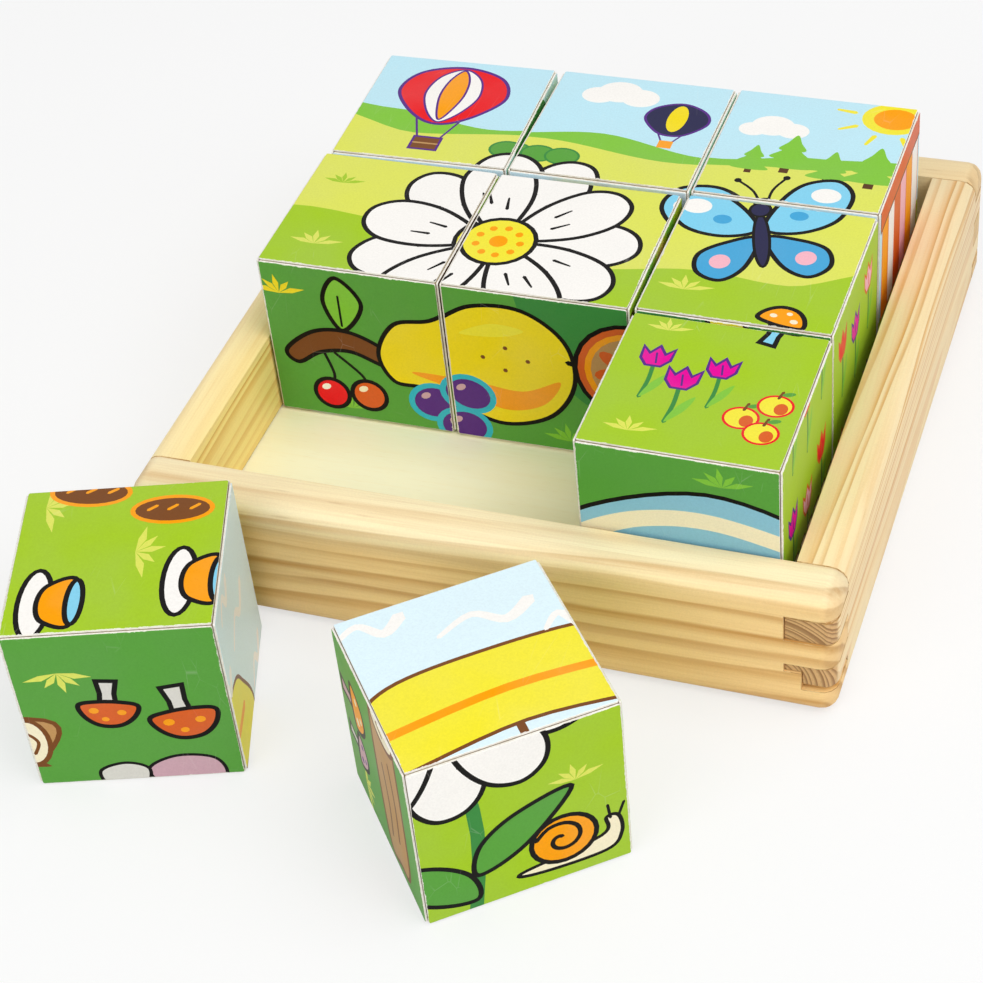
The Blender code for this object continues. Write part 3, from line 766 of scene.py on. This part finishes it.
    # a basket
    p.drawn(curve([(6.4, 7.4), (6.9, 2.4), (9.0, 1.4), (12.6, 1.4), (14.6, 2.4), (15.2, 7.4)]), "tan")
    for x in (8.2, 9.8, 11.4, 13.0):
        p.stroke([(x, 1.8), (x - 0.1, 6.9)], "brown", 0.7)
    for y in (3.2, 4.8, 6.2):
        p.stroke([(7.0, y), (10.8, y - 0.2), (14.8, y)], "brown", 0.7)
    p.drawn(oval(10.8, 7.5, 4.6, 0.7), "brown")
    return p


def woodlandPicture():
    # toadstools, stones and a felled trunk on dark grass
    p = Picture("meadow")
    p.fill(curve([(-3, 22), (5, 23.6), (12, 22), (20, 23.8), (27, 22.2), (33, 23.4), (33, 33), (-3, 33)]),
           "paleLime")
    for x, y, size in ((3, 24, 1.3), (8.2, 24.6, 1.0), (14.5, 24.2, 1.5), (20.4, 24.8, 1.1),
                       (26.5, 24.2, 1.5)):
        p.fir(x, y, size, "moss" if size > 1.2 else "leaf")
    for x, y in ((7.8, 2.6), (6.2, 17.2), (15.4, 12.2), (25.4, 11.6), (18.6, 2.2), (28.0, 5.0)):
        p.tuft(x, y, 1.1, "paleLime")
    p.drawn(curve([(1.3, 8.9), (0.9, 10.2), (2.2, 11.2), (4.0, 10.7), (4.6, 9.4), (3.1, 8.6)]), "rose",
            width=0.7)
    p.drawn(curve([(4.6, 9.4), (5.0, 10.6), (6.6, 10.6), (7.0, 9.4), (5.7, 8.9)]), "grey", width=0.7)
    p.drawn(curve([(9.0, 5.6), (9.6, 8.4), (10.4, 8.7), (18.4, 8.4), (19.3, 7.0), (18.6, 5.4)]), "tan",
            "brown")
    p.drawn(oval(10.0, 7.1, 0.95, 1.55), "cream", "brown")
    p.stroke([(9.9, 7.9), (9.6, 7.1), (10.1, 6.5), (10.4, 7.2)], "brown", 0.7)
    p.stroke([(12.0, 7.4), (14.6, 7.6), (17.4, 7.3)], "brown", 0.8)
    p.stroke([(13.0, 6.3), (15.6, 6.5), (18.0, 6.2)], "brown", 0.8)
    p.mushroom(2.6, 3.8, 1.1, 8, "rust", "grey", "orange")
    p.mushroom(5.6, 3.2, 0.95, -6, "rust", "grey", "orange")
    p.mushroom(13.2, 0.4, 1.0, 0, "orange", "rose", "cream")
    p.mushroom(16.0, 0.6, 0.8, -10, "rose", "grey", "purple")
    p.mushroom(4.0, 12.8, 1.35, 4, "red", "white", "white")
    p.mushroom(12.4, 13.8, 1.5, -5, "rust", "cream", "cream")
    p.mushroom(24.0, 14.0, 1.8, 3, "red", "white", "white")
    p.mushroom(22.4, 3.2, 1.2, 5, "gold", "white", "rust")
    p.mushroom(26.4, 6.8, 1.0, -8, "rust", "grey", "cream")
    for x, y in ((18.2, 17.4), (19.6, 16.0), (9.0, 19.8), (20.8, 20.3), (24.8, 0.9), (1.6, 20.0)):
        p.flower(x, y, 1.0, "pink", "purple", "yellow")
    return p


def harbourPicture():
    # a yellow sailing boat on pale water
    p = Picture("ice")
    p.fill(curve([(-3, 13.8), (5, 14.4), (13, 13.6), (22, 14.4), (33, 13.6), (33, -3), (-3, -3)]), "ice")
    p.fill(box(-2, 14, 32, 14.5), "sea")
    p.fill(curve([(18.6, 14.4), (21.5, 17.2), (25.0, 16.2), (28.0, 18.4), (33, 16), (33, 14.4)]), "leaf")
    p.puff([(3.0, 26.0, 1.5), (4.8, 26.8, 1.9), (6.8, 26.1, 1.4)], "white")
    p.puff([(23.8, 25.2, 1.3), (25.6, 26.0, 1.8), (27.4, 25.3, 1.2)], "white")
    p.fill(oval(26.4, 21.4, 1.7), "yellow")
    p.drawn(curve([(13.9, 26.6), (10.4, 18.6), (8.0, 11.8), (11.0, 11.2), (13.9, 11.4)]), "yellow",
            "brown", 0.8)
    p.drawn(curve([(14.8, 24.4), (18.0, 17.8), (20.0, 12.4), (17.4, 11.6), (14.8, 11.4)]), "gold",
            "brown", 0.8)
    p.stroke([(14.35, 27.6), (14.35, 9.0)], "brown", 1.6)
    p.drawn([(14.5, 28.2), (17.0, 27.3), (14.5, 26.5)], "red", "brown", 0.6)
    p.drawn(curve([(5.6, 10.2), (7.0, 6.6), (9.0, 5.0), (14.0, 4.6), (19.0, 5.0), (21.4, 7.0), (23.0, 10.4),
                   (14.0, 9.4)]), "yellow", "brown", 0.8)
    p.stroke([(7.6, 7.7), (14.0, 7.2), (20.6, 7.9)], "orange", 1.8)
    for x, y, long in ((1.4, 9.0, 3.2), (11.2, 2.4, 4.6), (17.0, 0.9, 3.4), (3.0, 3.8, 4.2),
                       (22.6, 3.2, 4.4), (25.2, 9.2, 3.6), (6.0, 0.8, 2.6), (9.0, 4.0, 2.2)):
        p.stroke([(x, y), (x + 0.3 * long, y + 0.75), (x + 0.6 * long, y - 0.2), (x + long, y + 0.55)],
                 "white", 2.6, 0.35)
    for x, y in ((2.4, 12.0), (27.4, 12.2), (21.6, 1.0)):
        p.stroke([(x, y), (x + 0.9, y + 0.5), (x + 1.8, y)], "sea", 1.2, 0.5)
    p.drawn(oval(27.6, 5.4, 1.5), "orange", "brown", 0.8)  # a buoy
    p.fill(box(26.3, 5.0, 28.9, 5.8), "white")
    p.stroke([(27.6, 6.9), (27.6, 8.2)], "brown", 1.2)
    return p


def teaPicture():
    # tea on the lawn: a white pot, orange cups and brown cakes
    p = Picture("lime")
    p.fill(curve([(-3, 24), (6, 25.4), (15, 23.6), (24, 25.2), (33, 24), (33, 33), (-3, 33)]), "paleLime")
    for x, y in ((1.2, 1.2), (4.8, 6.0), (2.0, 14.6), (26.6, 3.0), (17.2, 1.4), (28.0, 19.0), (9.8, 23.4)):
        p.tuft(x, y, 1.2, "paleLime")
    for x, y, turn in ((1.9, 7.4, 88), (0.3, 3.2, 84), (21.4, 3.4, 10), (25.4, 9.6, -12), (4.8, 20.8, 30)):
        p.fill(oval(x, y, 2.1, 1.05, turn), "orange")
        p.fill(oval(x, y, 1.85, 0.82, turn), "brown")
        c, s = cos(radians(turn)), sin(radians(turn))
        for start in (-1.2, -0.2, 0.9):
            end = start + 0.4
            p.stroke([(x + start * c, y + start * s), (x + end * c - 0.3 * s, y + end * s + 0.3 * c)],
                     "orange", 0.7)
    # the pot
    p.drawn(curve([(20.4, 17.4), (23.4, 18.2), (24.4, 15.4), (22.8, 12.6), (20.0, 12.0), (20.2, 13.2),
                   (22.2, 13.8), (23.0, 15.6), (22.2, 16.8), (20.6, 16.4)]), "blue")
    p.drawn(curve([(10.6, 13.6), (7.6, 14.0), (6.0, 16.4), (4.6, 18.0), (6.6, 18.2), (8.8, 16.6),
                   (10.8, 17.0)]), "blue")
    p.drawn(curve([(9.0, 14.8), (10.2, 10.6), (13.2, 8.6), (17.6, 8.6), (20.4, 10.8), (21.4, 14.8),
                   (19.6, 18.4), (15.4, 19.8), (11.0, 18.6)]), "white")
    p.drawn(curve([(11.8, 19.0), (13.4, 20.8), (17.2, 20.8), (18.8, 19.0), (15.2, 18.4)]), "blue")
    p.drawn(oval(15.3, 21.4, 0.9), "orange")
    for x, y in ((12.6, 12.4), (15.4, 11.4), (18.4, 12.8), (13.6, 15.2), (17.0, 15.8)):
        p.flower(x, y, 1.1, "blue", "line", "yellow")
    # cups on saucers
    for x, y, ink in ((7.0, 8.2, "orange"), (8.0, 1.4, "orange"), (24.6, 21.0, "red"), (14.0, 4.6, "blue")):
        p.drawn(oval(x, y, 2.3, 0.8), "white")
        p.drawn(curve([(x - 1.5, y + 1.9), (x - 1.2, y + 0.5), (x, y + 0.1), (x + 1.2, y + 0.5),
                       (x + 1.5, y + 1.9)]), ink)
        p.drawn(oval(x, y + 1.9, 1.5, 0.4), "blue" if ink != "blue" else "cream")
    return p


def tulipPicture():
    # a tulip field, a fence and striped awnings
    p = Picture("sky")
    p.fill(curve([(-3, 22), (6, 23), (14, 21.6), (22, 23), (33, 22), (33, -3), (-3, -3)]), "lime")
    for index, ink in enumerate(("leaf", "paleLime", "leaf", "lime")):
        p.fill([(-2 + 9 * index, -2), (3 + 9 * index, -2),
                (15.6 + 1.2 * index, 22), (14.6 + 1.2 * index, 22)], ink)
    p.puff([(1.0, 26.6, 3.2), (4.4, 28.4, 3.4), (8.0, 27.0, 3.0)], "moss")
    p.drawn(box(5.4, 13.4, 10.6, 19.4), "cream", "brown", 0.6)
    p.drawn([(-1.0, 14.6), (5.6, 14.6), (6.4, 20.6), (-1.0, 21.6)], "bark")
    p.drawn(box(10.4, 12.8, 13.6, 16.8), "rust", "brown", 0.6)
    for index in range(6):  # an awning
        x = 20.6 + 1.5 * index
        p.drawn([(x, 22.6), (x + 1.5, 22.6), (x + 1.5, 29.0), (x, 29.0)],
                ("orange", "white", "rust", "pink", "orange", "white")[index], "rust", 0.5)
    p.drawn(box(20.2, 28.6, 30.4, 30.8), "rust", "brown", 0.6)
    p.drawn(curve([(9.6, 21.8), (10.2, 27.0), (13.4, 27.0), (14.0, 21.8)]), "cream", "brown", 0.6)
    for turn in (20, 110, 200, 290):
        a = radians(turn)
        p.stroke([(11.8, 26.6), (11.8 + 3.2 * cos(a), 26.6 + 3.2 * sin(a))], "rust", 2.4, 0.9)
    for row in range(3):
        for index in range(3):
            ink = ("magenta", "pink", "red")[(row + index) % 3]
            for column in range(3):
                p.tulip(1.9 + 10 * column + 2.9 * index, 4.8 + 6.4 * row - (index % 2), 1.0, ink,
                        "purple" if ink == "magenta" else "rust")
    for index in range(7):
        p.drawn(box(20.6 + 1.4 * index, -1, 21.5 + 1.4 * index, 2.4), "cream", "brown", 0.5)
    p.drawn(box(19.6, 0.5, 31, 1.1), "tan", "brown", 0.5)
    return p


# Sheets. One is printed on each face of each cube.

sheet = {
    "cornerRadius": 0.35,  # mm
    "rim": 0.13,  # mm, the crushed edge of the sheet
    "crush": 0.07,  # mm, how far that edge is pressed down
    "trim": 0.12,  # mm, how unevenly the sheets are cut
    "register": 0.35,  # mm, how far the picture may lie off on its sheet
    "sameSpot": 0.0005,  # mm, corners nearer than this are one
    "seed": 41,
}


def roundedSquare(low, high, radius, steps=4):
    # anticlockwise; low and high are the corners
    made = []
    west, east, south, north = low[0] + radius, high[0] - radius, low[1] + radius, high[1] - radius
    for quarter, (x, y) in enumerate(((east, north), (west, north), (west, south), (east, south))):
        for step in range(steps + 1):
            a = pi / 2 * (quarter + step / steps)
            made.append((x + radius * cos(a), y + radius * sin(a)))
    return made


def printedFlat(name, picture, column, row, side, draw):
    # the upward face of one sheet, flat, divided along every printed edge
    units = pictureGrid["units"]
    perMm = units / (side / mm)
    trim = [draw.uniform(0, sheet["trim"]) * perMm for _ in range(4)]
    shift = [draw.uniform(-1, 1) * sheet["register"] * perMm for _ in range(2)]
    low, high = (trim[0], trim[1]), (units - trim[2], units - trim[3])
    radius, rim = sheet["cornerRadius"] * perMm, sheet["rim"] * perMm
    outlines = [roundedSquare(low, high, radius),
                roundedSquare((low[0] + rim, low[1] + rim), (high[0] - rim, high[1] - rim), radius - rim)]
    inkOf = [None, None]
    for outline, ink in picture.layers:
        moved = [(x - column * units + shift[0], y - row * units + shift[1]) for x, y in outline]
        xs, ys = [point[0] for point in moved], [point[1] for point in moved]
        if max(xs) < 0 or min(xs) > units or max(ys) < 0 or min(ys) > units:
            continue
        outlines.append(moved)
        inkOf.append(ink)
    points, faces = [], []
    for outline in outlines:
        faces.append(list(range(len(points), len(points) + len(outline))))
        points.extend(Vector(point) for point in outline)
    withinOutlines = 1  # the kind of result: only triangles that lie inside an outline
    found = geometry.delaunay_2d_cdt(points, [], faces, withinOutlines, pictureGrid["closest"])
    spots, cells, owners = found[0], found[2], found[5]
    kept = [(cell, max(o for o in owner if o > 1)) for cell, owner in zip(cells, owners)
            if 0 in owner and any(o > 1 for o in owner)]
    used = sorted({vertex for cell, _ in kept for vertex in cell})
    number = {vertex: index for index, vertex in enumerate(used)}
    scale = side / units
    mesh = bpy.data.meshes.new(name)
    corners = [((spots[v].x - units / 2) * scale, (spots[v].y - units / 2) * scale, 0) for v in used]
    mesh.from_pydata(corners, [], [[number[v] for v in cell] for cell, _ in kept])
    colours = mesh.color_attributes.new("ink", "FLOAT_COLOR", "CORNER")
    uvs = mesh.uv_layers.new(name="sheetPlace")
    for face, (cell, owner) in zip(mesh.polygons, kept):
        value = linear(inks[inkOf[owner]])
        for loop, vertex in zip(face.loop_indices, cell):
            colours.data[loop].color = value
            uvs.data[loop].uv = (spots[vertex].x / units, spots[vertex].y / units)
    return mesh


def sheetTree():
    # gives a flat print its thickness: walls, back, and an edge that is pressed down
    tree = bpy.data.node_groups.new("printedSheet", "GeometryNodeTree")
    names = {}
    for title, kind in (("Print", "Geometry"), ("Thickness", "Float"), ("Crushed edge", "Float"),
                        ("Printed face", "Material"), ("Bare card", "Material")):
        socket = tree.interface.new_socket(name=title, in_out="INPUT", socket_type="NodeSocket" + kind)
        names[title] = socket.identifier
    tree.interface.new_socket(name="Sheet", in_out="OUTPUT", socket_type="NodeSocketGeometry")
    given = addNode(tree, "NodeGroupInput").outputs
    # the outer edge of the print is marked, to be pressed down at the end
    around = addNode(tree, "GeometryNodeInputMeshEdgeNeighbors")
    openEdge = addNode(tree, "FunctionNodeCompare", (around, 1), data_type="INT", operation="EQUAL")
    openEdge = addNode(tree, "GeometryNodeFieldOnDomain", (openEdge,), domain="EDGE", data_type="BOOLEAN")
    marked = addNode(tree, "GeometryNodeStoreNamedAttribute", {
        "Geometry": given["Print"], "Name": "rim", "Value": openEdge}, domain="POINT", data_type="BOOLEAN")
    down = addNode(tree, "Math", (given["Thickness"], -1), operation="MULTIPLY")
    offset = addNode(tree, "CombineXYZ", {"Z": down})
    sides = addNode(tree, "GeometryNodeExtrudeMesh", {
        "Mesh": marked, "Offset": offset, "Offset Scale": 1, "Individual": False}, mode="FACES")
    turned = addNode(tree, "GeometryNodeFlipFaces", {"Mesh": sides})
    joined = addNode(tree, "GeometryNodeJoinGeometry", {"Geometry": turned})
    join(tree, joined, {"Geometry": marked})
    closed = addNode(tree, "GeometryNodeMergeByDistance", {"Geometry": joined, "Distance": sheet["sameSpot"] * mm})
    height = addNode(tree, "SeparateXYZ", (addNode(tree, "GeometryNodeInputPosition"),)).outputs["Z"]
    half = addNode(tree, "Math", (down, 0.5), operation="MULTIPLY")
    upper = addNode(tree, "FunctionNodeCompare", (height, half), data_type="FLOAT",
                    operation="GREATER_THAN")
    rim = addNode(tree, "GeometryNodeInputNamedAttribute", {"Name": "rim"}, data_type="BOOLEAN")
    chosen = addNode(tree, "FunctionNodeBooleanMath", (upper, rim), operation="AND")
    pressed = addNode(tree, "Math", (given["Crushed edge"], -1), operation="MULTIPLY")
    moved = addNode(tree, "GeometryNodeSetPosition", {
        "Geometry": closed, "Selection": chosen, "Offset": addNode(tree, "CombineXYZ", {"Z": pressed})})
    clean = addNode(tree, "GeometryNodeRemoveAttribute", {"Geometry": moved, "Name": "rim"})
    real = addNode(tree, "GeometryNodeRealizeInstances", {"Geometry": clean})
    printed = addNode(tree, "GeometryNodeSetMaterial", {
        "Geometry": real, "Material": given["Printed face"]})
    # the walls stand upright and the back looks down, so neither faces the way the print does
    facing = addNode(tree, "SeparateXYZ", (addNode(tree, "GeometryNodeInputNormal"),)).outputs["Z"]
    bare = addNode(tree, "FunctionNodeCompare", (facing, 0.05), data_type="FLOAT", operation="LESS_THAN")
    card = addNode(tree, "GeometryNodeSetMaterial", {
        "Geometry": printed, "Selection": bare, "Material": given["Bare card"]})
    addNode(tree, "NodeGroupOutput", {"Sheet": card})
    return tree, names


printFinish = {
    "mottle": 0.4,  # mm, the grain of the printed dots, coarser than the real 0.17 mm so that it shows
    "wear": 0.24,  # mm, how far in from its edge a sheet is rubbed white
    "side": 39.6,  # mm, a sheet's side
    "gloss": 0.34,  # the varnish's roughness where it isn't rubbed
    "fibre": "F4F0E8",  # the paper under the ink
    "scuff": "F7F4EE",
}


def makePrintedPaper(name):
    # offset-printed art paper under a satin varnish: even inks, a soft shine, rubbed white at its edges
    material, tree, shader = newMaterial(name, {
        "IOR": 1.5, "Specular IOR Level": 0.07, "Coat Weight": 0.03, "Coat Roughness": 0.24})
    place = addNode(tree, "TexCoord").outputs["Object"]
    ink = addNode(tree, "Attribute", attribute_name="ink")
    dots = addNode(tree, "TexNoise", {
        "Vector": place, "Scale": 1 / (printFinish["mottle"] * mm), "Detail": 2, "Roughness": 0.6})
    cloudy = addNode(tree, "TexNoise", {"Vector": place, "Scale": 55, "Detail": 3})
    value = addNode(tree, "MapRange", (dots, 0.3, 0.7, 0.955, 1.03))
    value = addNode(tree, "Math", (value, addNode(tree, "MapRange", (cloudy, 0.3, 0.7, -0.015, 0.015))))
    vivid = addNode(tree, "MapRange", (cloudy, 0.3, 0.7, 0.97, 1.03))
    colour = addNode(tree, "HueSaturation", {"Color": ink, "Value": value, "Saturation": vivid})

    # how far a spot lies from the nearest edge of its sheet, and how far in the rubbing goes there
    onSheet = addNode(tree, "SeparateXYZ", (addNode(tree, "UVMap", uv_map="sheetPlace"),)).outputs
    reach = []
    for axis in ("X", "Y"):
        fromFar = addNode(tree, "Math", (1, onSheet[axis]), operation="SUBTRACT")
        reach.append(addNode(tree, "Math", (onSheet[axis], fromFar), operation="MINIMUM"))
    fromEdge = addNode(tree, "Math", reach, operation="MINIMUM")
    fromEdge = addNode(tree, "Math", (fromEdge, printFinish["side"]), operation="MULTIPLY")
    chips = addNode(tree, "TexNoise", {"Vector": place, "Scale": 700, "Detail": 4, "Roughness": 0.75})
    patches = addNode(tree, "TexNoise", {"Vector": place, "Scale": 90, "Detail": 2})
    limit = addNode(tree, "MapRange", (chips, 0.35, 0.75, 0, printFinish["wear"]))
    worn = addNode(tree, "MapRange", (patches, 0.35, 0.65, 0.5, 1.6))
    limit = addNode(tree, "Math", (limit, worn), operation="MULTIPLY")
    rubbed = addNode(tree, "Math", (fromEdge, limit), operation="LESS_THAN")
    # a few fine scuffs from handling
    finer = addNode(tree, "VectorMath", (place, (260, 35, 90)), operation="MULTIPLY")
    scuff = addNode(tree, "TexVoronoi", {"Vector": finer, "Scale": 1}, feature="DISTANCE_TO_EDGE")
    scuffs = addNode(tree, "MapRange", (scuff, 0, 0.012, 1, 0))
    there = addNode(tree, "MapRange", (patches, 0.56, 0.66, 0, 1))
    scuffs = addNode(tree, "Math", (scuffs, there), operation="MULTIPLY")
    faint = addNode(tree, "Math", (scuffs, 0.1), operation="MULTIPLY")
    bare = addNode(tree, "Math", (rubbed, 0.8), operation="MULTIPLY")
    for amount, tone in ((bare, printFinish["fibre"]), (faint, printFinish["scuff"])):
        colour = addNode(tree, "Mix", (amount, colour, linear(tone)), data_type="RGBA")
    gloss = printFinish["gloss"]
    dull = addNode(tree, "MapRange", (cloudy, 0.3, 0.7, gloss - 0.04, gloss + 0.05))
    handled = addNode(tree, "Math", (rubbed, scuffs), operation="MAXIMUM")
    dull = addNode(tree, "Math", (handled, 0.25, dull), operation="MULTIPLY_ADD")
    # the glued paper isn't quite flat, and its fibres show in the shine
    waves = addNode(tree, "TexNoise", {"Vector": place, "Scale": 95, "Detail": 1})
    waves = addNode(tree, "Bump", {"Height": waves, "Distance": 0.12 * mm, "Strength": 0.5})
    relief = addNode(tree, "Bump", {
        "Height": dots, "Distance": 0.012 * mm, "Strength": 0.6, "Normal": waves})
    join(tree, shader, {"Base Color": colour, "Roughness": dull, "Normal": relief})
    return material


cardTones = {"clean": "F7F4ED", "fibre": "E0D9CC", "grime": "C9BBA2"}


def makeBareCard(name):
    # the cut edge of grey-white card: matt and fibrous
    material, tree, shader = newMaterial(name, {"IOR": 1.5, "Specular IOR Level": 0.3})
    place = addNode(tree, "TexCoord").outputs["Object"]
    fibres = addNode(tree, "TexNoise", {"Vector": place, "Scale": 1600, "Detail": 4, "Roughness": 0.7})
    grime = addNode(tree, "TexNoise", {"Vector": place, "Scale": 130, "Detail": 3, "Roughness": 0.6})
    colour = linear(cardTones["clean"])
    for amount, tone in ((addNode(tree, "MapRange", (fibres, 0.35, 0.75)), "fibre"),
                         (addNode(tree, "MapRange", (grime, 0.5, 0.75, 0, 0.35)), "grime")):
        colour = addNode(tree, "Mix", (amount, colour, linear(cardTones[tone])), data_type="RGBA")
    join(tree, shader, {
        "Base Color": colour, "Roughness": addNode(tree, "MapRange", (fibres, 0.3, 0.7, 0.78, 0.92)),
        "Normal": addNode(tree, "Bump", {"Height": fibres, "Distance": 0.05 * mm, "Strength": 0.7})})
    return material


# Every cube: its place in the pictures, column from the left and row from the front
cubeTiles = {
    "back_left": (0, 2), "back_middle": (1, 2), "back_right": (2, 2),
    "middle_left": (0, 1), "centre": (1, 1), "middle_right": (2, 1),
    "front_right": (2, 0), "loose_left": (0, 0), "loose_front": (1, 0),
}
# Where the X, Y and Z of a cube point once it has been turned in the hand
cubeTurns = {
    "loose_left": ((0, 1, 0), (1, 0, 0), (0, 0, -1)),
    "loose_front": ((1, 0, 0), (0, 0, 1), (0, -1, 0)),
}
upright = ((1, 0, 0), (0, 1, 0), (0, 0, 1))
# Which picture is on which face, and which way is up in it, on a cube that hasn't been turned
cubeFaces = (
    (gardenPicture, (0, 0, 1), (0, 1, 0)),
    (orchardPicture, (0, -1, 0), (0, 0, 1)),
    (tulipPicture, (1, 0, 0), (0, 0, 1)),
    (woodlandPicture, (-1, 0, 0), (0, 0, 1)),
    (harbourPicture, (0, 1, 0), (0, 0, 1)),
    (teaPicture, (0, 0, -1), (0, 1, 0)),
)
faceNames = {
    (0, 0, 1): ("top", "top_sheet"), (0, -1, 0): ("front", "front_sheet"),
    (1, 0, 0): ("right", "right_sheet"), (-1, 0, 0): ("left", "left_sheet"),
    (0, 1, 0): ("back", "wrap_sheet"), (0, 0, -1): ("bottom", "wrap_sheet"),
}


def middle(nodeName):
    low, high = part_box(nodeName)
    return (low + high) / 2


def makeCubePrints(materials):
    draw = random.Random(sheet["seed"])
    pictures = [(paint(), normal, up) for paint, normal, up in cubeFaces]
    tree, names = sheetTree()
    count = 0
    for place, (column, row) in cubeTiles.items():
        centre = middle(f"{place}_cube_core")
        depth = (centre - middle(f"{place}_cube_front_sheet")).normalized()
        axes = Matrix((depth.cross(Vector((0, 0, 1))), depth, Vector((0, 0, 1)))).transposed()
        low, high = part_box(f"{place}_cube_top_sheet")
        half, thickness = high.z - centre.z, high.z - low.z
        reach = [v.co.dot(depth) for v in nodes[f"{place}_cube_top_sheet"].data.vertices]
        side = max(reach) - min(reach)
        turn = Matrix(cubeTurns.get(place, upright)).transposed()
        for picture, normal, up in pictures:
            outward, upward = turn @ Vector(normal), turn @ Vector(up)
            face, nodeName = faceNames[tuple(round(value) for value in outward)]
            name = f"{place}_cube_{face}_print"
            flat = printedFlat(name, picture, column, row, side, draw)
            made = bpy.data.objects.new(name, flat)
            bpy.context.scene.collection.objects.link(made)
            modifier = made.modifiers.new("printedSheet", "NODES")
            modifier.node_group = tree
            for title, value in (("Thickness", thickness), ("Crushed edge", sheet["crush"] * mm),
                                 ("Printed face", materials["face"]), ("Bare card", materials["card"])):
                modifier[names[title]] = value
            made = madePlain(made)
            outward, upward = axes @ outward, axes @ upward
            matrix = Matrix((upward.cross(outward), upward, outward)).transposed().to_4x4()
            matrix.translation = centre + outward * half
            made.data.transform(matrix)
            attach(made, f"{place}_cube")
            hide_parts(f"{place}_cube_{nodeName}")
            count += len(made.data.polygons)
    return count


makeCamera(photoCamera)
makeStage(stage)
print("camera and stage set")
# painted shade for the finger-joint gaps, one material for all the rails
jointShade = makeJointShade("paintedJointShade")
for railName in railCuts:
    makeRail(railName, rail, jointShade)
dress("base_panel", makeBoard("sandedPlywood"))
print("tray dressed")
cubeWood = makeCubeWood("sawnBeech")
for place in cubeTiles:
    dress(f"{place}_cube_core", cubeWood)
faces = makeCubePrints({"face": makePrintedPaper("varnishedPrint"), "card": makeBareCard("cutCard")})
print("sheets printed:", faces, "faces")
